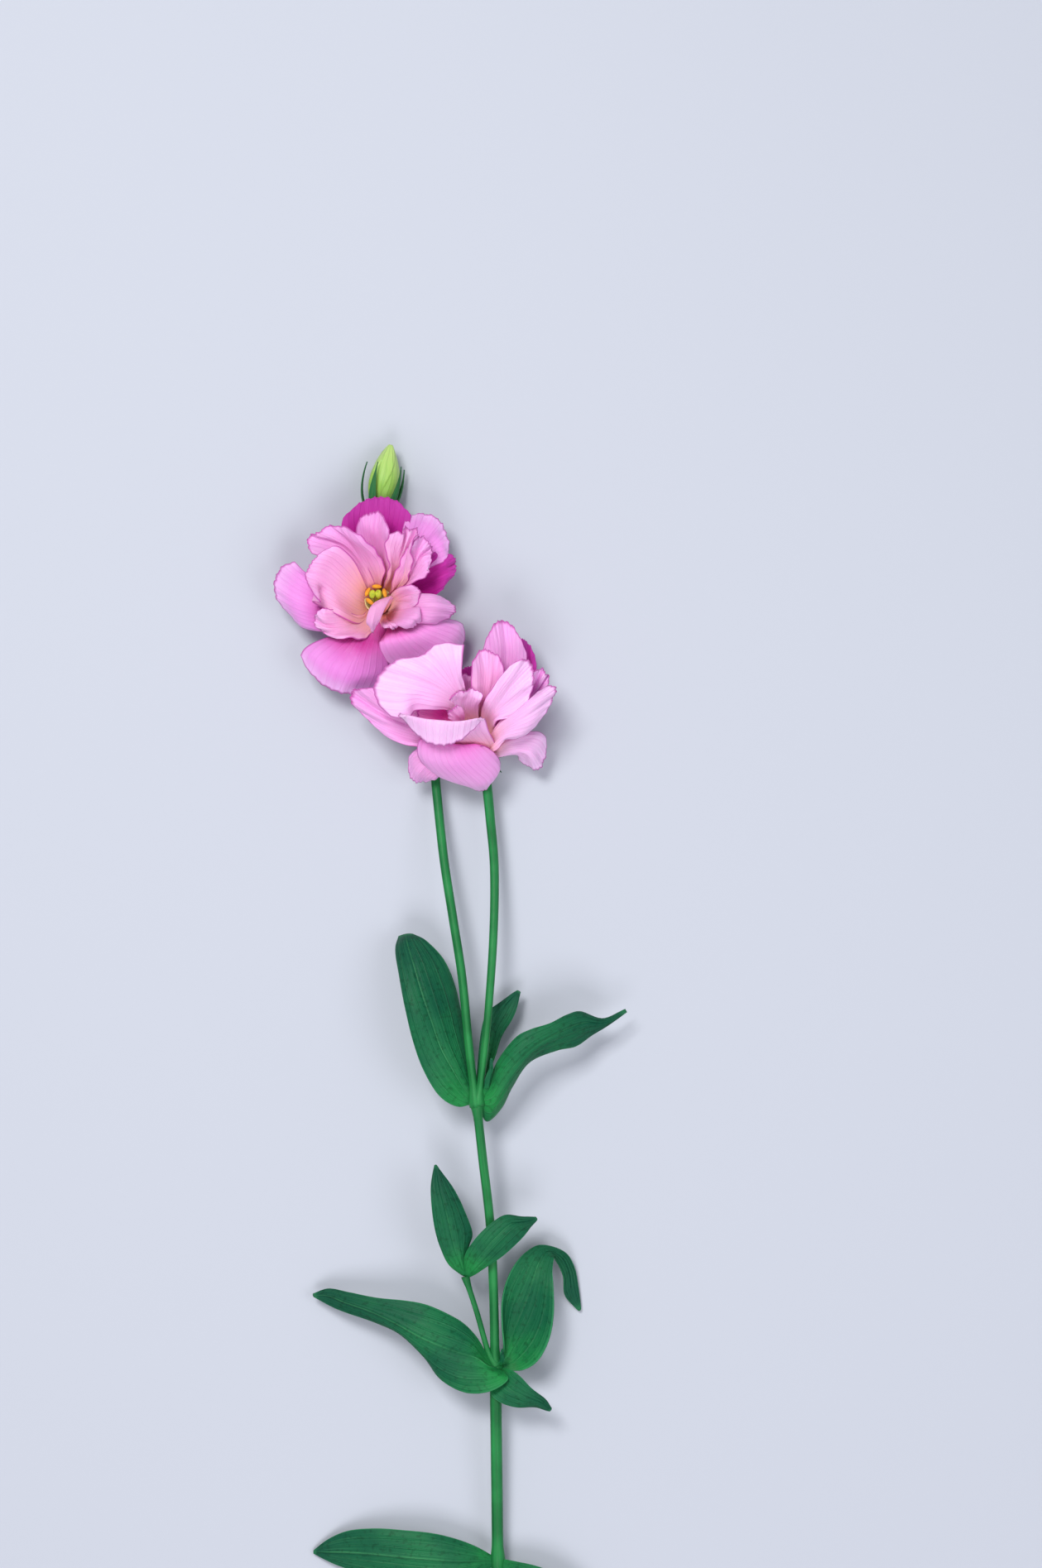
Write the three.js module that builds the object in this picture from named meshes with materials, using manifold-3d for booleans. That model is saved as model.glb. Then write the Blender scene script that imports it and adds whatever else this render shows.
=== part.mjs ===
// One cut flowering stem of a double lisianthus, lying on a surface at z = 0.
// Millimetres. X runs to the right along the surface, Y from the cut end to the blooms, Z up.
// The stem forks at its upper node into two branches, each with one double bloom. The left
// branch also carries a furled bud. The origin is the bottom centre of the whole stem's box.

import * as THREE from "three";
import { mergeVertices } from "three/addons/utils/BufferGeometryUtils.js";
import Module from "manifold-3d";

// ---------------------------------------------------------------- driving dimensions

const MM_PER_UNIT = 0.3125; // the plan below is drawn in units of 1/3.2 mm
const PLAN_X = 541; // plan point that lies over the origin
const PLAN_Y = 1297;
const LIFT = -0.1; // raises the whole stem so that its lowest point is at z = 0

const LEAF_THICKNESS = 0.8;
const PETAL_THICKNESS = 0.7;
const STEM_SIDES = 8;
const BLADE_COLUMNS = [-1, -0.5, 0, 0.5, 1]; // places across a leaf or petal, from margin to margin

const GREEN = 0x1f7040;
const PINK = 0xf3a9dc;
const BUD_GREEN = 0xb9dc6e;
const ANTHER_YELLOW = 0xe8a21e;
const STIGMA_GREEN = 0xb9c92a;

// Stem parts: plan points with their height, and the radius at each end.
const STEMS = {
  mainLower: {
    radii: [2.2, 2.2],
    points: [
      [603, 2062, 2.3], [602, 1970, 5], [601, 1893, 8],
      [600, 1800, 10], [599, 1720, 12], [598, 1650, 13],
    ],
  },
  mainUpper: {
    radii: [1.75, 1.7],
    points: [
      [598, 1660, 13], [596, 1560, 15.5], [592, 1480, 17.5],
      [583, 1400, 19.5], [575, 1328, 20],
    ],
  },
  leftBranch: {
    radii: [1.6, 1.9],
    points: [
      [575, 1338, 20], [566, 1260, 21], [558, 1180, 19.5], [547, 1110, 17], [536, 1040, 13.5],
      [527, 960, 8.5], [519, 880, 4.6], [508, 818, 2.8], [490, 772, 2.4], [471, 744, 3.8], [461, 735, 7],
    ],
  },
  rightBranch: {
    radii: [1.3, 2.0],
    points: [
      [577, 1335, 20], [583, 1290, 21.5], [590, 1220, 20.5], [596, 1130, 17.5], [597, 1050, 13],
      [592, 990, 11.4], [588, 950, 10.2], [585.5, 927, 10.5],
    ],
  },
  budStalk: {
    radii: [1.3, 1.5],
    points: [
      [520, 890, 5], [512, 820, 3.6], [499, 745, 3.4],
      [480, 685, 4.6], [461, 642, 7.4], [455, 622, 8.6],
    ],
  },
  sideShoot: {
    radii: [1.1, 1.0],
    points: [[598, 1652, 13.5], [589, 1634, 15], [576, 1587, 18], [562, 1543, 19.5]],
  },
};

// Swollen nodes of the stem: plan point, height, radius.
const NODES = [
  [601, 1893, 8, 2.9],
  [598, 1655, 13, 2.9],
  [575, 1332, 20, 2.7],
  [562, 1542, 19.4, 1.6],
];

// Each leaf is a list of rows from its base to its tip. A row holds the two margins with the
// midrib between them, each as plan point and height.
const LEAVES = {
  upperLeft: [
    [[571, 1334, 19], [575, 1331, 19.5], [577, 1327, 19]],
    [[552, 1337, 19], [563, 1318, 20], [571, 1308, 17.5]],
    [[530, 1323, 22], [548, 1293, 23.5], [566, 1284, 16.5]],
    [[511, 1291, 25], [533, 1264, 25.5], [561.5, 1255, 16]],
    [[499, 1256, 26], [522, 1232, 26], [556.5, 1222, 15.5]],
    [[491, 1218, 24.5], [511, 1200, 24.5], [549, 1188, 15]],
    [[484, 1178, 20], [501, 1167, 21.5], [536, 1160, 14.5]],
    [[478, 1148, 14], [492, 1141, 17], [515, 1139, 14]],
    [[481, 1133, 10], [490, 1130, 12], [498, 1130, 12]],
  ],
  upperRight: [
    [[577, 1326, 19], [578, 1331, 19.5], [579, 1336, 19]],
    [[589, 1308, 20], [595, 1326, 22], [588, 1356, 15]],
    [[602, 1281, 22], [607, 1306, 24.5], [607, 1340, 15]],
    [[623, 1255, 24], [624, 1284, 26], [620, 1315, 17]],
    [[640, 1244.5, 25], [645, 1264, 26], [640, 1284, 20]],
    [[664, 1236.5, 24], [667, 1251, 24.5], [672, 1269, 19]],
    [[684.5, 1226, 21], [690, 1241, 22], [695, 1264, 16]],
    [[702, 1222, 18], [708, 1236, 19], [714, 1252, 14]],
    [[729, 1232, 14.5], [731, 1236.5, 15.5], [734, 1241, 14]],
    [[756, 1221, 12.5], [757, 1222.5, 12.7], [758, 1224, 12.5]],
  ],
  upperBack: [
    [[575, 1326, 18.5], [578, 1326, 18.5], [581, 1326, 18.5]],
    [[576, 1294, 14], [586, 1288, 14.5], [596, 1284, 14]],
    [[581, 1255, 10.5], [593, 1250, 11.5], [606, 1256, 10]],
    [[588, 1228, 9], [603, 1228, 10], [618, 1235, 8.5]],
    [[605, 1212, 8], [614, 1213, 8.5], [624, 1219, 7.5]],
    [[625, 1199, 7], [627, 1199.5, 7], [629, 1201, 7]],
  ],
  upperTwig: [
    [[581, 1326, 20], [583, 1326, 20.5], [585, 1326, 20]],
    [[586, 1308, 22.5], [589, 1308, 23], [592, 1309, 22.5]],
    [[590, 1294, 24], [592.5, 1293, 24.3], [595, 1294, 24]],
    [[593, 1278, 25], [594, 1278, 25], [595, 1278, 25]],
  ],
  middleLeft: [
    [[594, 1648, 13.5], [600, 1655, 15], [608, 1659, 15.5]],
    [[585, 1634, 15], [589, 1652, 18.4], [613, 1669, 18.6]],
    [[575, 1616, 16], [573, 1640, 20.4], [590, 1682, 18.6]],
    [[560, 1600, 16.5], [552, 1633, 21], [561, 1683, 17.4]],
    [[539, 1588, 17], [530, 1625, 21], [532, 1668, 17]],
    [[514, 1578, 17], [505, 1614, 20], [512, 1643, 17]],
    [[488, 1574, 15.5], [478, 1600, 17.5], [486, 1617, 16]],
    [[455, 1572, 13], [447, 1587, 14.5], [452, 1601, 13]],
    [[422, 1566, 10], [417, 1578, 11], [419, 1590, 10]],
    [[396, 1562, 7], [396, 1571, 7.5], [398, 1583, 7]],
    [[376, 1569, 5], [376, 1571, 5], [377, 1573, 5]],
  ],
  middleRight: [
    [[601, 1649, 12.5], [603, 1652, 12], [604, 1657, 12.5]],
    [[608, 1636, 14], [613, 1634, 11], [629, 1659, 14]],
    [[606.5, 1608, 16], [621, 1608, 12], [650, 1646, 17]],
    [[607, 1577, 17], [629, 1588, 13], [664, 1620, 18]],
    [[613, 1550, 17], [637, 1568, 14], [669.5, 1590, 18]],
    [[624, 1528, 15], [644, 1548, 14], [669, 1560, 17]],
    [[638, 1514, 12], [651, 1529, 12.5], [667.5, 1537, 14]],
    [[654, 1509, 9], [661, 1516, 10], [670, 1523, 11]],
    [[682, 1518, 5.5], [678, 1523, 6.5], [673, 1529, 7.5]],
    [[694.5, 1538, 3], [688, 1542, 3.8], [681, 1548, 4.6]],
    [[700, 1564, 2], [692, 1567, 2.5], [683, 1572, 3]],
    [[703, 1589, 1.6], [701.5, 1591, 1.6], [699, 1591, 1.6]],
  ],
  middleFront: [
    [[604, 1656, 12.5], [602, 1659, 12], [600, 1661, 12]],
    [[616, 1658, 15], [608, 1669, 14], [595, 1683, 12.5]],
    [[625, 1663, 17], [618, 1677, 17], [606, 1690, 14]],
    [[635, 1675, 18], [632, 1684, 18], [624, 1695, 15]],
    [[649, 1684, 17], [647, 1689, 17], [643, 1696, 15]],
    [[661, 1693, 15], [662, 1695, 15], [661, 1697, 15]],
  ],
  middleTwig: [
    [[602, 1652, 14.5], [604, 1652, 15], [606, 1652, 14.5]],
    [[604, 1642, 17], [606.5, 1642, 17.4], [609, 1643, 17]],
    [[606, 1631, 19], [607, 1631, 19], [608, 1632, 19]],
  ],
  shootLeft: [
    [[558, 1541, 19], [561, 1542, 19.5], [563, 1541, 19]],
    [[541, 1527, 20], [556, 1527, 21.5], [561, 1521, 19]],
    [[532, 1508, 22], [549, 1506, 23.5], [566, 1506, 20]],
    [[527, 1487, 23], [544, 1484, 24], [571, 1489, 20]],
    [[523, 1456, 23], [538, 1457, 24], [560, 1460, 20]],
    [[521, 1430, 21], [531, 1433, 22], [546, 1436, 19]],
    [[525, 1409, 19], [526.5, 1408, 19], [528, 1410, 19]],
  ],
  shootRight: [
    [[561, 1541, 19], [563, 1543, 19.5], [566, 1544, 19]],
    [[562, 1518, 22], [573, 1526, 23], [581, 1536, 21]],
    [[573, 1499, 24], [588, 1506, 25], [604, 1520, 22]],
    [[590, 1480, 24], [603, 1490, 25], [622, 1503, 22]],
    [[610, 1467, 23], [618, 1478, 24], [635, 1490, 21]],
    [[632, 1471, 20], [635, 1476, 20.5], [642, 1483, 19]],
    [[647, 1471.5, 18], [648.5, 1473, 18], [649, 1475, 18]],
  ],
  lowerLeft: [
    [[597, 1889, 8], [600, 1893, 8.5], [601, 1897, 8]],
    [[575, 1875, 10], [575, 1891, 11.5], [577, 1908, 9]],
    [[552, 1865, 11], [550, 1890, 13], [552, 1918, 9]],
    [[524, 1858, 11.5], [522, 1888, 13], [523, 1923, 9]],
    [[490, 1855, 10.5], [488, 1886, 11.5], [488, 1921, 8]],
    [[454, 1854, 8], [452, 1884, 9], [452, 1914, 6]],
    [[420, 1858, 5], [418, 1884, 5.5], [418, 1905, 4]],
    [[395, 1869, 3], [393, 1885, 3], [394, 1896, 2.5]],
    [[376, 1884, 1.5], [376, 1886, 1.5], [376, 1888, 1.5]],
  ],
  lowerRight: [
    [[601, 1890, 8], [602, 1894, 8.5], [602, 1899, 8]],
    [[622, 1893, 10], [622, 1903, 11], [614, 1916, 9]],
    [[648, 1897, 12], [645, 1915, 13], [636, 1938, 10]],
    [[676, 1908, 12], [671, 1931, 13], [660, 1957, 9]],
    [[702, 1926, 10], [697, 1948, 10.5], [684, 1972, 7]],
    [[722, 1948, 6.5], [716, 1964, 7], [705, 1982, 4.5]],
    [[737, 1972, 3], [733, 1980, 3], [725, 1989, 2.5]],
    [[745, 1995, 1.5], [743, 1997, 1.5], [741, 1998, 1.5]],
  ],
};

// A bloom: the plan point and height of its receptacle, the way it faces, and its petals. A petal
// has the azimuth of its root in degrees round the bloom's axis, 0 to the right and 90 towards +Y,
// and then rows as a leaf has.
const BLOOMS = {
  left: {
    base: [459, 733, 8],
    facing: [-0.12, 0.34, 0.93],
    petals: {
      scoop: {
        azimuth: 170,
        rows: [
          [[436, 752, 19], [434, 728, 16], [441, 706, 21]],
          [[414, 744, 27], [412, 712, 22], [427, 682, 30]],
          [[392, 727, 33], [391, 696, 27], [411, 667, 34]],
          [[377, 707, 33], [375, 690, 31], [391, 666, 33]],
        ],
      },
      farLeft: {
        azimuth: 128,
        rows: [
          [[438, 714, 18], [450, 706, 17], [461, 703, 21]],
          [[418, 692, 22], [436, 680, 20], [457, 682, 28]],
          [[394, 677, 25], [416, 657, 24], [445, 662, 32]],
          [[360, 663, 24], [385, 645, 26], [430, 634, 33]],
        ],
      },
      farMiddle: {
        azimuth: 98,
        rows: [
          [[452, 704, 18], [460, 700, 17], [468, 703, 20]],
          [[442, 676, 22], [456, 670, 20], [470, 676, 26]],
          [[436, 650, 27], [452, 643, 25], [472, 652, 31]],
          [[438, 630, 31], [452, 623, 30], [467, 631, 34]],
        ],
      },
      farOuter: {
        azimuth: 90,
        rows: [
          [[446, 704, 15], [458, 698, 13], [470, 702, 15]],
          [[428, 672, 18], [455, 662, 15], [482, 670, 18]],
          [[415, 640, 21], [454, 628, 17], [492, 636, 21]],
          [[422, 612, 20], [456, 600, 17], [494, 606, 20]],
        ],
      },
      farRightOuter: {
        azimuth: 52,
        rows: [
          [[464, 706, 15], [472, 706, 14], [476, 714, 15]],
          [[482, 672, 19], [496, 676, 16], [505, 694, 18]],
          [[490, 634, 21], [518, 648, 18], [534, 680, 20]],
          [[496, 612, 18], [532, 629, 16], [551, 672, 17]],
        ],
      },
      foldFar: {
        azimuth: 66,
        rows: [
          [[466, 706, 21], [474, 704, 19], [482, 712, 21]],
          [[470, 680, 29], [482, 682, 25], [490, 690, 29]],
          [[474, 658, 34], [489, 664, 29], [499, 668, 34]],
          [[483, 645, 35], [495, 643, 33], [507, 640, 35]],
        ],
      },
      foldRight: {
        azimuth: 32,
        rows: [
          [[474, 712, 21], [482, 712, 19], [486, 718, 21]],
          [[488, 688, 29], [496, 692, 25], [502, 704, 28]],
          [[496, 662, 33], [508, 672, 29], [514, 690, 32]],
          [[507, 650, 34], [520, 660, 30], [524, 684, 31]],
        ],
      },
      rightOuter: {
        azimuth: 20,
        rows: [
          [[474, 716, 15], [480, 720, 14], [482, 728, 15]],
          [[500, 694, 19], [508, 706, 17], [508, 722, 18]],
          [[522, 672, 21], [534, 690, 19], [532, 712, 20]],
          [[540, 662, 19], [552, 680, 17], [546, 704, 18]],
        ],
      },
      throatFold: {
        azimuth: 345,
        rows: [
          [[470, 722, 17], [472, 730, 15], [470, 738, 17]],
          [[481, 714, 24], [485, 724, 20], [482, 735, 24]],
          [[492, 711, 29], [496, 721, 25], [497, 732, 28]],
          [[503, 712, 31], [505, 719, 30], [504, 726, 31]],
        ],
      },
      throatLobe: {
        azimuth: 268,
        rows: [
          [[467, 736, 20], [458, 737, 21], [449, 738, 20]],
          [[475, 722, 28], [465, 725, 30], [453, 730, 29]],
          [[470, 733, 33], [458, 733, 35], [445, 740, 33]],
          [[462, 752, 32], [452, 752, 34], [442, 755, 32]],
          [[458, 765, 29], [451, 767, 30], [445, 764, 29]],
        ],
      },
      rightRoll: {
        azimuth: 352,
        rows: [
          [[478, 724, 18], [480, 734, 17], [478, 744, 18]],
          [[498, 718, 25], [500, 734, 27], [496, 750, 22]],
          [[520, 716, 27], [524, 734, 31], [514, 756, 25]],
          [[540, 724, 24], [549, 740, 26], [534, 757, 22]],
        ],
      },
      nearRightRoll: {
        azimuth: 318,
        rows: [
          [[476, 738, 20], [472, 746, 20], [466, 750, 20]],
          [[492, 734, 27], [487, 748, 29], [474, 756, 26]],
          [[508, 732, 30], [502, 750, 32], [484, 760, 27]],
          [[514, 742, 27], [508, 757, 27], [494, 763, 25]],
        ],
      },
      nearTuft: {
        azimuth: 292,
        rows: [
          [[468, 748, 20], [464, 750, 22], [458, 750, 20]],
          [[478, 752, 26], [472, 756, 28], [463, 756, 26]],
          [[485, 757, 26], [476, 762, 27], [466, 762, 25]],
        ],
      },
      nearLeft: {
        azimuth: 222,
        rows: [
          [[450, 757, 18], [441, 750, 16], [436, 743, 18]],
          [[440, 768, 24], [421, 757, 22], [415, 742, 25]],
          [[420, 773, 27], [400, 760, 25], [396, 740, 29]],
          [[394, 770, 25], [380, 754, 25], [384, 734, 28]],
        ],
      },
      nearLeftOuter: {
        azimuth: 244,
        rows: [
          [[468, 754, 15], [448, 760, 17], [430, 754, 15]],
          [[472, 776, 16], [436, 785, 24], [398, 766, 19]],
          [[476, 806, 12], [424, 812, 22], [366, 782, 16]],
          [[470, 834, 5], [412, 839, 11], [356, 806, 9]],
        ],
      },
      nearRightOuter: {
        azimuth: 312,
        rows: [
          [[486, 742, 16], [478, 752, 17], [466, 757, 16]],
          [[518, 744, 21], [500, 766, 25], [457, 776, 23]],
          [[549, 748, 18], [528, 780, 21], [466, 797, 18]],
          [[569, 760, 12], [540, 792, 12], [490, 809, 12]],
        ],
      },
      leftOuter: {
        azimuth: 192,
        rows: [
          [[438, 752, 15], [434, 738, 14], [436, 726, 15]],
          [[404, 764, 18], [398, 740, 19], [402, 712, 19]],
          [[372, 764, 15], [362, 728, 20], [368, 690, 20]],
          [[348, 754, 11], [329, 710, 15], [342, 664, 17]],
        ],
      },
    },
  },
  right: {
    base: [585, 918, 12],
    facing: [-0.26, 0.72, 0.64],
    petals: {
      farLeft: {
        azimuth: 118,
        rows: [
          [[558, 884, 22], [564, 874, 19], [572, 870, 20]],
          [[530, 866, 34], [541, 848, 31], [555, 842, 31]],
          [[488, 866, 38], [508, 818, 39], [560, 800, 37]],
          [[446, 862, 33], [470, 806, 39], [563, 765, 37]],
        ],
      },
      leftOuter: {
        azimuth: 182,
        rows: [
          [[556, 908, 20], [553, 898, 18], [556, 886, 20]],
          [[520, 906, 24], [510, 884, 22], [508, 858, 25]],
          [[484, 898, 25], [468, 868, 24], [470, 840, 27]],
          [[444, 876, 23], [423, 842, 23], [446, 826, 27]],
        ],
      },
      nearRoll: {
        azimuth: 264,
        rows: [
          [[598, 902, 21], [574, 908, 22], [552, 906, 21]],
          [[590, 882, 31], [545, 888, 34], [508, 882, 31]],
          [[584, 867, 37], [538, 873, 42], [484, 862, 38]],
          [[582, 884, 37], [535, 903, 38], [487, 884, 35]],
        ],
      },
      nearOuter: {
        azimuth: 286,
        rows: [
          [[594, 906, 19], [574, 912, 22], [552, 908, 20]],
          [[580, 898, 28], [548, 900, 31], [512, 890, 29]],
          [[599, 910, 24], [554, 922, 29], [503, 914, 26]],
          [[608, 926, 17], [578, 946, 20], [522, 938, 19]],
          [[598, 944, 12], [584, 958, 13], [556, 953, 14]],
        ],
      },
      farUpright: {
        azimuth: 76,
        rows: [
          [[572, 872, 18], [580, 870, 17], [589, 874, 18]],
          [[574, 848, 30], [588, 846, 26], [600, 852, 29]],
          [[574, 818, 35], [594, 820, 29], [607, 832, 33]],
          [[577, 786, 37], [594, 790, 33], [608, 812, 35]],
        ],
      },
      farOuter: {
        azimuth: 72,
        rows: [
          [[578, 886, 14.5], [588, 884, 13.5], [598, 891, 14]],
          [[584, 852, 22], [600, 848, 18], [616, 854, 18]],
          [[590, 808, 25], [610, 800, 21], [630, 812, 21]],
          [[594, 766, 26], [608, 759, 23], [624, 775, 22]],
        ],
      },
      farRightOuter: {
        azimuth: 58,
        rows: [
          [[590, 890, 15], [600, 890, 12], [606, 896, 13]],
          [[606, 850, 18], [622, 850, 14], [634, 858, 15]],
          [[618, 808, 20], [634, 806, 16], [646, 818, 16]],
          [[624, 780, 20], [634, 773, 17], [642, 790, 17]],
        ],
      },
      rightFan: {
        azimuth: 36,
        rows: [
          [[582, 876, 19], [590, 880, 18], [596, 886, 20]],
          [[588, 852, 31], [598, 860, 27], [600, 872, 28]],
          [[606, 822, 35], [616, 838, 32], [624, 866, 30]],
          [[630, 786, 36], [644, 812, 34], [641, 852, 32]],
        ],
      },
      right: {
        azimuth: 8,
        rows: [
          [[592, 890, 23], [594, 898, 22], [592, 908, 22]],
          [[610, 868, 29], [612, 880, 28], [606, 896, 27]],
          [[634, 846, 30], [640, 862, 32], [626, 895, 27]],
          [[664, 819, 29], [672, 842, 29], [648, 882, 26]],
        ],
      },
      rightOuter: {
        azimuth: 40,
        rows: [
          [[592, 886, 17], [602, 890, 15], [606, 898, 15]],
          [[616, 850, 21], [628, 858, 18], [630, 872, 18]],
          [[636, 820, 24], [648, 834, 21], [650, 852, 20]],
          [[645, 806, 25], [660, 816, 24], [664, 836, 22]],
        ],
      },
      throatStreak: {
        azimuth: 140,
        rows: [
          [[558, 892, 19], [558, 885, 18], [562, 879, 17]],
          [[552, 876, 27], [557, 870, 28], [563, 866, 28]],
          [[539, 871, 31], [548, 860, 33], [558, 852, 33]],
        ],
      },
      throatWall: {
        azimuth: 168,
        rows: [
          [[560, 903, 18], [558, 894, 17], [560, 884, 18]],
          [[540, 894, 24], [534, 880, 22], [540, 866, 25]],
          [[518, 884, 29], [506, 866, 28], [514, 848, 31]],
        ],
      },
      throatRim: {
        azimuth: 98,
        rows: [
          [[561, 882, 18], [569, 876, 17], [578, 876, 18]],
          [[544, 862, 28], [560, 856, 25], [576, 856, 28]],
          [[526, 850, 33], [554, 842, 30], [582, 846, 33]],
          [[534, 842, 35], [556, 836, 34], [582, 838, 35]],
        ],
      },
      farInner: {
        azimuth: 84,
        rows: [
          [[566, 874, 16], [576, 870, 15], [586, 874, 16]],
          [[556, 850, 25], [574, 842, 22], [590, 846, 24]],
          [[553, 832, 30], [574, 824, 26], [596, 830, 29]],
          [[560, 822, 31], [576, 816, 29], [592, 822, 31]],
        ],
      },
      nearRightOuter: {
        azimuth: 335,
        rows: [
          [[601, 903, 19], [598, 910, 18], [593, 916, 18]],
          [[622, 890, 19], [616, 906, 18], [606, 914, 16]],
          [[650, 884, 18], [640, 908, 18], [622, 914, 14]],
          [[668, 900, 13], [655, 928, 11], [627, 932, 9]],
        ],
      },
      farShaded: {
        azimuth: 95,
        rows: [
          [[568, 886, 16], [578, 880, 14], [588, 884, 14]],
          [[556, 846, 20], [574, 838, 17], [592, 842, 17]],
          [[556, 814, 23], [568, 806, 20], [582, 810, 19]],
        ],
      },
      nearLeftOuter: {
        azimuth: 232,
        rows: [
          [[572, 914, 18], [560, 912, 18], [550, 904, 18]],
          [[548, 924, 21], [532, 914, 23], [522, 898, 23]],
          [[530, 942, 17], [510, 930, 20], [500, 908, 22]],
          [[522, 950, 13], [500, 946, 14], [486, 926, 18]],
        ],
      },
    },
  },
};

// Petals leave the corolla tube at this radius and height above the receptacle, spread over this angle.
const PETAL_ROOT = { radius: 3.9, height: 3.0, spread: 26 };
const PETAL_ROUNDING = 0.13; // how far the corners of a petal's tip are drawn in

// The short tube that the petals grow from: pairs of radius and height round the bloom's axis.
const TUBE = [[0, 0.8], [3.4, 1.0], [5.1, 7.5], [4.1, 7.5], [3.0, 2.0], [0, 1.8]];

// The green cup under a bloom or bud, as pairs of radius and height.
const CUP = [[0, -5], [1.9, -4], [2.6, -1.5], [3.6, 0.1], [3.2, 0.45], [0, 0.45]];

// Sepals: length, then the angles from the axis at a sepal's root, in its middle and at its tip.
const SEPALS = {
  left: { length: 19, angles: [70, 78, 84] },
  right: { length: 6, angles: [80, 125, 140] },
  bud: { length: 21, angles: [48, 2, -8] },
};
const SEPAL_HALF_WIDTH = 1.5;
const SEPAL_ROOT = { radius: 2.6, height: -1.2 };
const SEPAL_AZIMUTHS = [30, 102, 174, 246, 318];

// Height of the anthers above the receptacle, their distance from the axis, and the stigma's height.
const HEARTS = {
  left: { height: 12.6, reach: 3.2, stigma: 13.8 },
  right: { height: 8.8, reach: 2.4, stigma: 11.2 },
};
const FILAMENT = { base: 2.1, middle: 2.4, radii: [0.4, 0.35] }; // distances from the axis, then radii
const ANTHER = { halfLength: 1.8, radius: 0.75 };
const STAMEN_RING = [[1.8, 2.3], [2.4, 2.3], [2.4, 3.2], [1.8, 3.2], [1.8, 2.3]];
const STIGMA_LOBE = { offset: 1.1, halfLength: 1.7, radius: 1.15 };

const BUD = { base: [455, 617, 9.2], tip: [474, 520, 8.2], length: 25, radius: 5.6 };

// ---------------------------------------------------------------- joining and cutting

const wasm = await Module();
wasm.setup();

/** The closed geometry as a solid that can be joined and cut. */
function solidOf(geometry) {
  let bare = geometry.index ? geometry.toNonIndexed() : geometry.clone();
  bare.deleteAttribute("normal");
  bare.deleteAttribute("uv");
  bare = mergeVertices(bare, 1e-4);
  const mesh = new wasm.Mesh({
    numProp: 3,
    vertProperties: new Float32Array(bare.attributes.position.array),
    triVerts: new Uint32Array(bare.index.array),
  });
  return new wasm.Manifold(mesh);
}

/** One solid from a list of solids. */
function join(solids) {
  return solids.reduce((whole, piece) => whole.add(piece));
}

/** The solid's largest closed shell: hollows sealed by joining are filled and loose scraps are dropped. */
function largestBody(solid) {
  const bodies = solid.decompose();
  return bodies.reduce((best, body) => (body.volume() > best.volume() ? body : best));
}

/** A named mesh with its own material from a solid. */
function meshOf(name, solid, color, roughness) {
  const { vertProperties, triVerts, numProp } = solid.getMesh();
  const positions = new Float32Array((vertProperties.length / numProp) * 3);
  for (let i = 0; i < positions.length / 3; i += 1) {
    for (let k = 0; k < 3; k += 1) positions[3 * i + k] = vertProperties[numProp * i + k];
  }
  const geometry = new THREE.BufferGeometry();
  geometry.setAttribute("position", new THREE.BufferAttribute(positions, 3));
  geometry.setIndex(Array.from(triVerts));
  geometry.computeVertexNormals();
  const material = new THREE.MeshStandardMaterial({ color, roughness, metalness: 0 });
  const mesh = new THREE.Mesh(geometry, material);
  mesh.name = name;
  return mesh;
}

// ---------------------------------------------------------------- shapes

/** A plan point and height as a point in millimetres. */
function planPoint([x, y, z]) {
  return new THREE.Vector3((x - PLAN_X) * MM_PER_UNIT, (PLAN_Y - y) * MM_PER_UNIT, z + LIFT);
}

/** A closed thin sheet round a grid of points, both faces split into triangles alike. */
function sheet(grid, thickness) {
  const rows = grid.length;
  const columns = grid[0].length;
  const top = [];
  const bottom = [];
  for (let i = 0; i < rows; i += 1) {
    for (let j = 0; j < columns; j += 1) {
      const along = grid[Math.min(i + 1, rows - 1)][j].clone().sub(grid[Math.max(i - 1, 0)][j]);
      const across = grid[i][Math.min(j + 1, columns - 1)].clone().sub(grid[i][Math.max(j - 1, 0)]);
      const normal = along.cross(across).normalize().multiplyScalar(thickness / 2);
      top.push(grid[i][j].clone().add(normal));
      bottom.push(grid[i][j].clone().sub(normal));
    }
  }
  const points = top.concat(bottom);
  const under = rows * columns;
  const faces = [];
  const quad = (a, b, c, d) => faces.push(a, b, c, a, c, d);
  for (let i = 0; i < rows - 1; i += 1) {
    for (let j = 0; j < columns - 1; j += 1) {
      const a = i * columns + j;
      const [b, c, d] = [a + columns, a + columns + 1, a + 1];
      quad(a, b, c, d);
      faces.push(a + under, c + under, b + under, a + under, d + under, c + under);
    }
  }
  for (let i = 0; i < rows - 1; i += 1) {
    const a = i * columns;
    quad(a, a + under, a + columns + under, a + columns);
    const e = a + columns - 1;
    quad(e, e + columns, e + columns + under, e + under);
  }
  for (let j = 0; j < columns - 1; j += 1) {
    quad(j, j + 1, j + 1 + under, j + under);
    const e = (rows - 1) * columns + j;
    quad(e, e + under, e + 1 + under, e + 1);
  }
  const geometry = new THREE.BufferGeometry();
  geometry.setAttribute("position", new THREE.Float32BufferAttribute(points.flatMap((p) => p.toArray()), 3));
  geometry.setIndex(faces);
  return geometry;
}

/** The sheet's solid, turned the right way out. */
function sheetSolid(grid, thickness) {
  const geometry = sheet(grid, thickness);
  const solid = solidOf(geometry);
  if (solid.volume() > 0) return solid;
  const index = Array.from(geometry.index.array);
  for (let i = 0; i < index.length; i += 3) [index[i + 1], index[i + 2]] = [index[i + 2], index[i + 1]];
  geometry.setIndex(index);
  return solidOf(geometry);
}

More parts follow.
